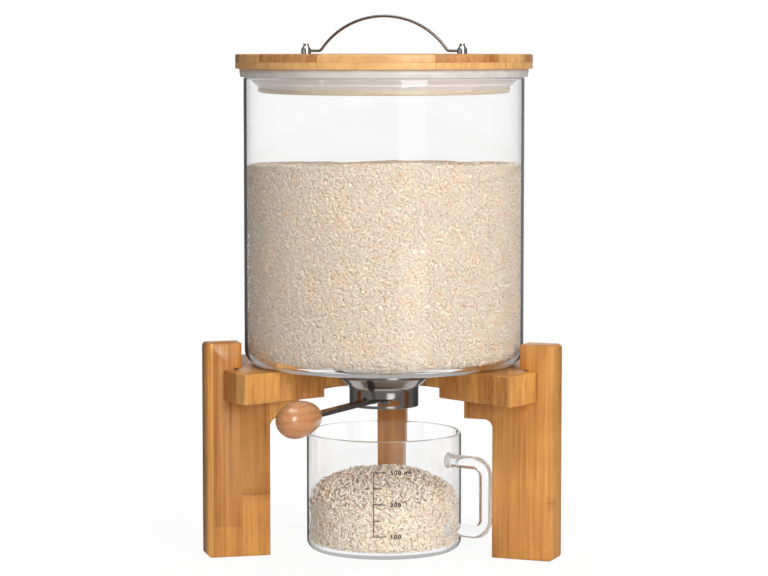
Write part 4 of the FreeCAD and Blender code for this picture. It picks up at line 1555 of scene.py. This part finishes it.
@dataclass
class RiceFill:
    """Rice grains laid against a wall and over a heap, on a closed bed that fills the rest.

    Attributes:
        body: The body that the rice rides on.
        name: Start of the pieces' names.
        outline: The wall's inside as rows of radius and height, from low to high.
        heap: Height of the rice's top at a radius, as a function of arrays.
        length: Mean length of a grain.
        girth: Mean thickness of a grain.
        cover: How many times over the grains cover the surface.
        proud: How far a grain's end may stand above the heap.
        loose: Spread of the grains' tilt on the heap, in radians.
        lean: Slope of the top along X and along Y.
        seed: Seed of the random places.
        batch: Most triangles in one piece.
    """

    body: str
    name: str
    outline: Array
    heap: Callable[[Array], Array]
    length: float = 4.0 * MM
    girth: float = 1.15 * MM
    cover: float = 1.8
    proud: float = 0.3 * MM
    loose: float = 0.2
    lean: tuple[float, float] = (0.0, 0.0)
    seed: int = 5
    batch: int = 180_000

    def surface(self) -> Array:
        """Return the rice's outer section, up the wall and in over the heap to the axis.

        Returns:
            Rows of radius and height.
        """
        r = np.linspace(self.outline[-1, 0], 0.0, 40)
        top = float(self.heap(np.array([r[0]]))[0])
        wall = self.outline[self.outline[:, 1] < top - 0.5 * MM]
        return np.concatenate([wall, np.stack([r, self.heap(r)], -1)])

    def bed(self) -> Piece:
        """Turn the bed that lies behind the grains, nearly a grain's thickness inside the surface.

        Returns:
            The bed.
        """
        section = self.surface()
        along = np.gradient(section, axis=0)
        along /= np.linalg.norm(along, axis=1, keepdims=True)
        inward = np.stack([-along[:, 1], along[:, 0]], -1)
        inner = section + inward * self.girth * 0.95
        inner[:, 0] = np.maximum(inner[:, 0], 0.0)
        inner[-1, 0] = 0.0
        foot = np.array([[0.0, inner[0, 1]]])
        piece = lathe(f"{self.name}_bed", np.concatenate([foot, inner]), 128, closed=False)
        points = mesh_points(piece.data)
        points[:, 2] += self.rise(points)
        move_points(piece.data, points)
        return piece

    def rise(self, points: Array) -> Array:
        """Return how far the top is lifted: lean . (x, y) and two shallow waves, less lower down.

        The share left at a depth d under the heap is 1 - d / (0.2 * the heap's height).

        Args:
            points: Rows of points.

        Returns:
            The lift of each point.
        """
        x, y, z = (points[..., k] for k in range(3))
        full = float(self.heap(np.zeros(1))[0])
        share = np.clip(1.0 - (self.heap(np.hypot(x, y)) - z) / (0.2 * full), 0.0, 1.0)
        long_wave = 0.5 * MM * np.sin(x / (17.0 * MM) + 0.7)
        short_wave = 0.4 * MM * np.sin(x / (7.0 * MM) - y / (21.0 * MM))
        return share * (self.lean[0] * x + self.lean[1] * y + (long_wave + short_wave))

    def tuck(self, centre: Array, reach: Array) -> Array:
        """Draw grains in where an end would pass the wall or the floor, or stand proud of the heap.

        Args:
            centre: The grains' centres.
            reach: Half of each grain's length along its direction.

        Returns:
            The centres, moved towards the axis, down and up by what is over.
        """
        radius = np.linalg.norm(centre[:, :2], axis=1)
        away = centre[:, :2] / np.maximum(radius, 1e-9)[:, None]
        wall = np.interp(centre[:, 2], self.outline[:, 1], self.outline[:, 0])
        over = radius + np.abs((away * reach[:, :2]).sum(axis=1)) - wall
        moved = centre.copy()
        moved[:, :2] -= away * np.maximum(over, 0.0)[:, None]
        above = centre[:, 2] + np.abs(reach[:, 2]) - self.heap(radius) - self.proud
        moved[:, 2] -= np.maximum(above, 0.0)
        below = self.outline[0, 1] - moved[:, 2] + np.abs(reach[:, 2])
        moved[:, 2] += np.maximum(below, 0.0)
        return moved

    def places(self, rng: np.random.Generator) -> tuple[Array, Array, Array]:
        """Pick even random places on the surface.

        A place's distance along the section is drawn in proportion to the radius there, so
        that the grains lie equally close everywhere.

        Args:
            rng: The source of random values.

        Returns:
            The places, the outward normals and the directions round the axis.
        """
        section = self.surface()
        steps = np.hypot(*np.diff(section, axis=0).T)
        share = steps * 0.5 * (section[1:, 0] + section[:-1, 0])
        total = np.concatenate([[0.0], np.cumsum(share)])
        area = TAU * total[-1]
        count = int(self.cover * area / (0.75 * self.length * self.girth))
        pick = np.sort(rng.uniform(0.0, total[-1], count))
        piece = np.clip(np.searchsorted(total, pick) - 1, 0, len(steps) - 1)
        part = (pick - total[piece]) / np.maximum(share[piece], 1e-12)
        spot = section[piece] + part[:, None] * (section[piece + 1] - section[piece])
        edge = (section[piece + 1] - section[piece]) / steps[piece][:, None]
        angle = rng.uniform(0.0, TAU, count)
        out = np.stack([np.cos(angle), np.sin(angle), np.zeros(count)], -1)
        up = np.array([0.0, 0.0, 1.0])
        points = spot[:, :1] * out + spot[:, 1:] * up
        normals = edge[:, 1:] * out - edge[:, :1] * up
        return points, normals, np.cross(up, out)

    @staticmethod
    def spindle() -> tuple[Array, Array]:
        """Return one grain: a tip at -1, two rings of five points and a tip at 1.

        The rings lie at -0.5 and 0.42 and are 0.95 and 0.9 in radius, which gives the grain a
        blunt and a pointed end.

        Returns:
            The points along, beside and above the grain's middle, and its triangles.
        """
        sides = 5
        turns = np.arange(sides) / sides * TAU
        rings = [
            np.stack([np.full(sides, at), wide * np.cos(turns), wide * np.sin(turns)], -1)
            for at, wide in ((-0.5, 0.95), (0.42, 0.9))
        ]
        points = np.concatenate([[[-1.0, 0.0, 0.0]], *rings, [[1.0, 0.0, 0.0]]])
        here, after = 1 + np.arange(sides), 1 + (np.arange(sides) + 1) % sides
        faces = np.concatenate([
            np.stack([np.zeros(sides, int), after, here], -1),
            np.stack([here, after, after + sides], -1),
            np.stack([here, after + sides, here + sides], -1),
            np.stack([here + sides, after + sides, np.full(sides, 1 + 2 * sides)], -1),
        ])
        return points, faces

    def grains(self) -> list[Piece]:
        """Lay the grains: each at a random turn in the surface, tipped a little and sunk a little.

        A grain's points are its centre + half * a * along + girth * (1.08 * b * side +
        0.92 * c * lift), for the spindle's points (a, b, c).

        Returns:
            The grains, in batches.
        """
        rng = np.random.default_rng(self.seed)
        points, normals, around = self.places(rng)
        count = len(points)
        turn = rng.uniform(0.0, math.pi, count)[:, None]
        on_heap = normals[:, 2:] > 0.5
        tip = np.clip(rng.normal(0.0, 0.09, count), -0.25, 0.25)[:, None]
        tip = np.where(on_heap, -np.abs(rng.normal(0.0, self.loose, count))[:, None], np.abs(tip))
        along = np.cos(turn) * around + np.sin(turn) * np.cross(normals, around)
        along = np.cos(tip) * along - np.sin(tip) * normals
        side = np.cross(normals, along)
        side /= np.linalg.norm(side, axis=1, keepdims=True)
        lift = np.cross(along, side)
        half = 0.5 * self.length * np.clip(rng.normal(0.98, 0.13, count), 0.45, 1.25)[:, None]
        girth = 0.5 * self.girth * np.clip(rng.normal(1.0, 0.08, count), 0.8, 1.2)[:, None]
        sink = girth * (1.02 + rng.uniform(0.0, 0.75, count)[:, None])
        loft = np.where(on_heap, self.proud * rng.uniform(0.0, 1.0, (count, 1)) ** 3, 0.0)
        centre = self.tuck(points + normals * (loft - sink), half * along)
        shape, faces = self.spindle()
        verts = (
            centre[:, None, :]
            + (half * along)[:, None, :] * shape[None, :, :1]
            + (girth * 1.08 * side)[:, None, :] * shape[None, :, 1:2]
            + (girth * 0.92 * lift)[:, None, :] * shape[None, :, 2:]
        )
        verts[..., 2] += self.rise(verts)
        tone = np.clip(rng.beta(1.3, 2.6, count), 0.0, 0.9)
        tone[rng.uniform(size=count) < 0.008] = 1.0
        pieces = []
        batches = math.ceil(count * len(faces) / self.batch)
        for number, chosen in enumerate(np.array_split(rng.permutation(count), batches)):
            block = faces[None] + (np.arange(len(chosen)) * len(shape))[:, None, None]
            spots = verts[chosen].reshape(-1, 3)
            piece = make_piece(f"{self.name}_grains_{number}", spots, block.reshape(-1, 3))
            marks = piece.data.attributes.new(GRAIN_TONE, "FLOAT", "POINT")
            marks.data.foreach_set("value", np.repeat(tone[chosen], len(shape)).astype(np.float32))
            pieces.append(piece)
        return pieces

    def build(self, rice: Material, bed: Material) -> None:
        """Build and dress the bed and the grains.

        Args:
            rice: The grains' material.
            bed: The bed's material.
        """
        dress(self.bed(), self.body, Slot.BEECH, bed)
        grains = self.grains()
        for piece in grains:
            dress(piece, self.body, Slot.BEECH, rice)
        LOG.info("%s: bed and %d batches of grains", self.name, len(grains))


def vessel_outline(
    inner: float, floor: float, corner: float, base: tuple[float, float], top: float, steps: int
) -> Array:
    """Return a vessel's inside: two points on the floor, the corner's arc and the wall.

    Args:
        inner: Radius of the wall.
        floor: Height of the floor.
        corner: Radius of the corner.
        base: Radii of the floor's two points.
        top: Height of the wall's last point.
        steps: Points on the wall.

    Returns:
        Rows of radius and height, from low to high.
    """
    bend = arc((inner - corner, floor + corner), corner, -90.0, 0.0, 8)
    ground = np.stack([base, np.full(2, floor)], -1)
    wall = np.stack([np.full(steps, inner), np.linspace(bend[-1, 1], top, steps + 1)[1:]], -1)
    return np.concatenate([ground, bend, wall])


def jar_rice(sizes: JarSizes) -> RiceFill:
    """Return the jar's rice: filled to a gently uneven level.

    Args:
        sizes: The jar's sizes.

    Returns:
        The rice.
    """
    play = 0.9 * MM
    outline = vessel_outline(
        sizes.radius - sizes.wall + play, sizes.bottom + sizes.floor + 0.3 * MM,
        sizes.corner - sizes.wall + play, (74.0 * MM, 80.0 * MM), 273.0 * MM, 60,
    )

    def heap(r: Array) -> Array:
        """Return the level."""
        return np.full(np.shape(r), 271.3 * MM)

    return RiceFill(
        "jar", "jar_rice", outline, heap, proud=0.9 * MM, loose=0.3, lean=(0.008, -0.054), seed=5
    )


def cup_rice(sizes: CupSizes) -> RiceFill:
    """Return the cup's rice: a heap that slopes down to the wall.

    Args:
        sizes: The cup's sizes.

    Returns:
        The rice.
    """
    play = 0.7 * MM
    inner = sizes.radius - sizes.wall + play
    outline = vessel_outline(
        inner, sizes.floor + 0.2 * MM, sizes.corner - sizes.wall + play,
        (36.0 * MM, 44.0 * MM), 45.0 * MM, 30,
    )

    def heap(r: Array) -> Array:
        """Return the height 53.6 - 10.2 * u^2 - 6.6 * u^8 in millimetres, with u = r / inner."""
        u = r / inner
        return (53.6 - 10.2 * u**2 - 6.6 * u**8) * MM

    return RiceFill(
        "cup", "cup_rice", outline, heap, 5.2 * MM, 1.55 * MM, proud=3.2 * MM, loose=0.5,
        lean=(-0.02, 0.0), seed=8,
    )


# ---- Room -----------------------------------------------------------------------------------


@dataclass(frozen=True)
class Lamp:
    """One rectangular soft lamp.

    Attributes:
        name: Its name.
        place: Where it hangs.
        target: Where it points.
        size: Its width and height.
        power: Its power in watts.
        gloss: Whether gloss and glass show it.
    """

    name: str
    place: Triple
    target: Triple
    size: tuple[float, float]
    power: float
    gloss: bool = True

    def hang(self) -> None:
        """Hang the lamp and point it at its target."""
        light = bpy.data.lights.new(self.name, "AREA")
        light.shape = "RECTANGLE"
        light.size, light.size_y = self.size
        light.energy = self.power
        holder = put_object(self.name, light)
        aim_object(holder, self.place, self.target)
        holder.visible_camera = False
        holder.visible_glossy = self.gloss
        holder.visible_transmission = self.gloss


def aim_object(thing: bpy.types.Object, place: Triple, target: Triple) -> None:
    """Put a lamp or a camera in its place and point it at a target."""
    thing.location = place
    thing.rotation_euler = (Vector(target) - Vector(place)).to_track_quat("-Z", "Y").to_euler()


@dataclass
class Studio:
    """The pale floor, white backdrop, soft lamps and camera.

    Attributes:
        azimuth: The camera's turn about the object, in degrees.
        distance: The camera's distance from the axis along the ground.
        height: The camera's height.
        aim: Height on the axis that the camera looks at.
        lens: The camera's focal length in millimetres.
        card: Where a white card lies on the floor for gloss alone, as a direction.
        card_reach: Distances where the card starts, is full, starts to fade and ends.
        card_glow: The card's brightness.
        floor_reach: Half of the floor's side.
        lamps: The lamps.
    """

    azimuth: float = 3.5
    distance: float = 1.9268
    height: float = 0.3563
    aim: float = 0.1853
    lens: float = 128.37
    card: Triple = (0.44, -0.898, 0.0)
    card_reach: tuple[float, ...] = (0.5, 0.6, 2.6, 3.0)
    card_glow: float = 2.4
    floor_reach: float = 6.0
    lamps: tuple[Lamp, ...] = (
        Lamp("key_lamp", (0.97, -1.85, 1.095), (0.0, 0.0, 1.095), (0.76, 1.3), 29.5),
        Lamp("fill_lamp", (-1.5, -1.4, 0.885), (0.0, 0.0, 0.885), (0.15, 0.9), 1.5),
        Lamp("back_lamp", (0.0, 1.8, 0.9), (0.0, 0.0, 0.2), (1.4, 0.8), 9.0, gloss=False),
        Lamp("low_lamp", (0.7, -1.8, 0.42), (0.0, 0.0, 0.07), (1.0, 0.5), 6.5, gloss=False),
        Lamp("top_lamp", (0.1, -0.1, 1.9), (0.0, 0.0, 0.2), (1.2, 1.2), 16.0),
    )

    def camera(self) -> None:
        """Place the camera and aim it at the object's axis."""
        turn = math.radians(self.azimuth)
        lens = bpy.data.cameras.new("camera")
        lens.lens = self.lens
        lens.sensor_width = 36.0
        eye = put_object("camera", lens)
        place = (self.distance * math.sin(turn), -self.distance * math.cos(turn), self.height)
        aim_object(eye, place, (0.0, 0.0, self.aim))
        bpy.context.scene.camera = eye

    @staticmethod
    def screen(work: Tree, toward: Socket) -> tuple[Socket, Socket]:
        """Show white to the camera and through glass, and to gloss mostly from behind the object.

        Gloss sees a grey of 0.25 on the camera's side, which falls to 0.08 past the object's
        sides, and white straight behind it.

        Args:
            work: The tree to add to.
            toward: How far a direction points away from the camera, -1 to 1.

        Returns:
            Whether a ray sees the screen, and how bright it is to that ray.
        """
        path = work.add("ShaderNodeLightPath").outputs
        direct = work.most(path["Is Camera Ray"], path["Is Transmission Ray"])
        side = work.ramp(toward, 0.1, 0.75, 0.25, 0.08)
        behind = work.most(side, work.ramp(toward, 0.93, 0.985))
        bright = work.most(direct, work.times(path["Is Glossy Ray"], behind))
        return work.most(direct, path["Is Glossy Ray"]), bright

    def world(self) -> None:
        """Light the room softly, and show the screen round it to the camera, gloss and glass."""
        world = bpy.data.worlds.new("room")
        world.use_nodes = True
        bpy.context.scene.world = world
        work = Tree(world.node_tree)
        work.tree.nodes.clear()
        toward = work.split(work.add("ShaderNodeTexCoord").outputs["Generated"])[1]
        seen, glow = self.screen(work, toward)
        strength = work.plus(glow, work.times(work.minus(1.0, seen), 0.16))
        back = work.add("ShaderNodeBackground", {"Color": WHITE, "Strength": strength})
        work.add("ShaderNodeOutputWorld", {"Surface": back.outputs[0]})

    def floor_material(self) -> Material:
        """Build the floor: it takes the shadow near the object and fades to the screen far from it.

        The card shows to gloss alone, in a wedge about its direction and between its reaches.

        Returns:
            The floor's material.
        """
        material, work, shader = new_material("studio_floor")
        place = work.place()
        shade = work.ramp(work.noise(place, 9.0), 0.3, 0.7)
        tone = work.mix(shade, (0.86, 0.86, 0.86), (0.9, 0.9, 0.9))
        work.feed(shader, {"Base Color": tone, "Roughness": 0.9})
        distance = work.vector_math("LENGTH", "Value", place)
        toward = work.vector_math("NORMALIZE", "Vector", place)
        seen, strength = self.screen(work, work.split(toward)[1])
        near, near_full, far_full, far = self.card_reach
        fade_in = work.ramp(distance, near, near_full)
        fade_out = work.ramp(distance, far_full, far, 1.0, 0.0)
        beside = work.vector_math("DOT_PRODUCT", "Value", toward, self.card)
        wedge = work.ramp(beside, 0.972, 0.985, 0.0, self.card_glow)
        card = work.times(work.times(fade_in, fade_out), wedge)
        glossy = work.add("ShaderNodeLightPath").outputs["Is Glossy Ray"]
        strength = work.most(strength, work.times(glossy, card))
        glow = work.add("ShaderNodeEmission", {"Color": WHITE, "Strength": strength}).outputs[0]
        fade = work.ramp(distance, 0.12, 0.55, 0.94, 1.0)
        both = work.mix_shaders(work.times(fade, seen), shader.outputs[0], glow)
        work.feed(work.find("OUTPUT_MATERIAL"), {"Surface": both})
        return material

    def floor(self) -> None:
        """Lay the floor, a hair below the object's feet."""
        corners = np.array([[-1.0, -1.0, 0.0], [1.0, -1.0, 0.0], [1.0, 1.0, 0.0], [-1.0, 1.0, 0.0]])
        points = corners * self.floor_reach - [0.0, 0.0, 0.4 * MM]
        plane = make_piece("studio_floor", points, np.array([[0, 1, 2, 3]]), smooth=False)
        plane.data.materials.append(self.floor_material())

    def build(self) -> None:
        """Set up the room."""
        self.camera()
        self.world()
        self.floor()
        for lamp in self.lamps:
            lamp.hang()
        bpy.context.scene.view_settings.view_transform = "Standard"
        LOG.info("studio: camera, floor and %d lamps", len(self.lamps))


# ---- Making ---------------------------------------------------------------------------------


def main() -> None:
    """Build every sub-assembly in order."""
    logging.basicConfig(level=logging.INFO, format="%(name)s: %(message)s")
    build_bamboo_group()
    build_polish_group()
    Studio().build()
    clear = (0.985, 0.985, 0.985)
    # Each glass's second colour is painted shade where a wall is seen along itself; the jar's glass also
    # gets a dimmer painted glow inside its wall.
    jar_glass = Glass(clear, srgb(110, 111, 115), painted_glow=(0.4, 0.4, 0.4)).material("jar_glass")
    cup_glass = Glass(clear, srgb(116, 120, 126)).material("cup_glass")
    rod_glass = Glass(clear, srgb(176, 180, 174), bending=1.6).material("cup_rod_glass")
    steel = Metal((0.43, 0.405, 0.39), 0.2, 0.35).material("turned_steel")
    chrome = Metal((0.6, 0.6, 0.61), 0.12).material("bright_chrome")
    wire = Metal((0.22, 0.2, 0.19), 0.3).material("drawn_wire")
    silicone = Silicone().material("white_silicone")
    bed = RiceBed().material("rice_bed")
    Stand().build()
    Jar().build(jar_glass, steel, silicone)
    Shutter().build(steel, chrome)
    Lid().build(chrome, wire, silicone)
    Cup().build(cup_glass, rod_glass)
    jar_rice(JarSizes()).build(Rice().material("jar_rice"), bed)
    # The cup's rice gets painted light, a paler cream over its tones, for lying in shade.
    cup_rice(CupSizes()).build(Rice(painted_light=0.32).material("cup_rice"), bed)


if __name__ == "__main__":
    main()
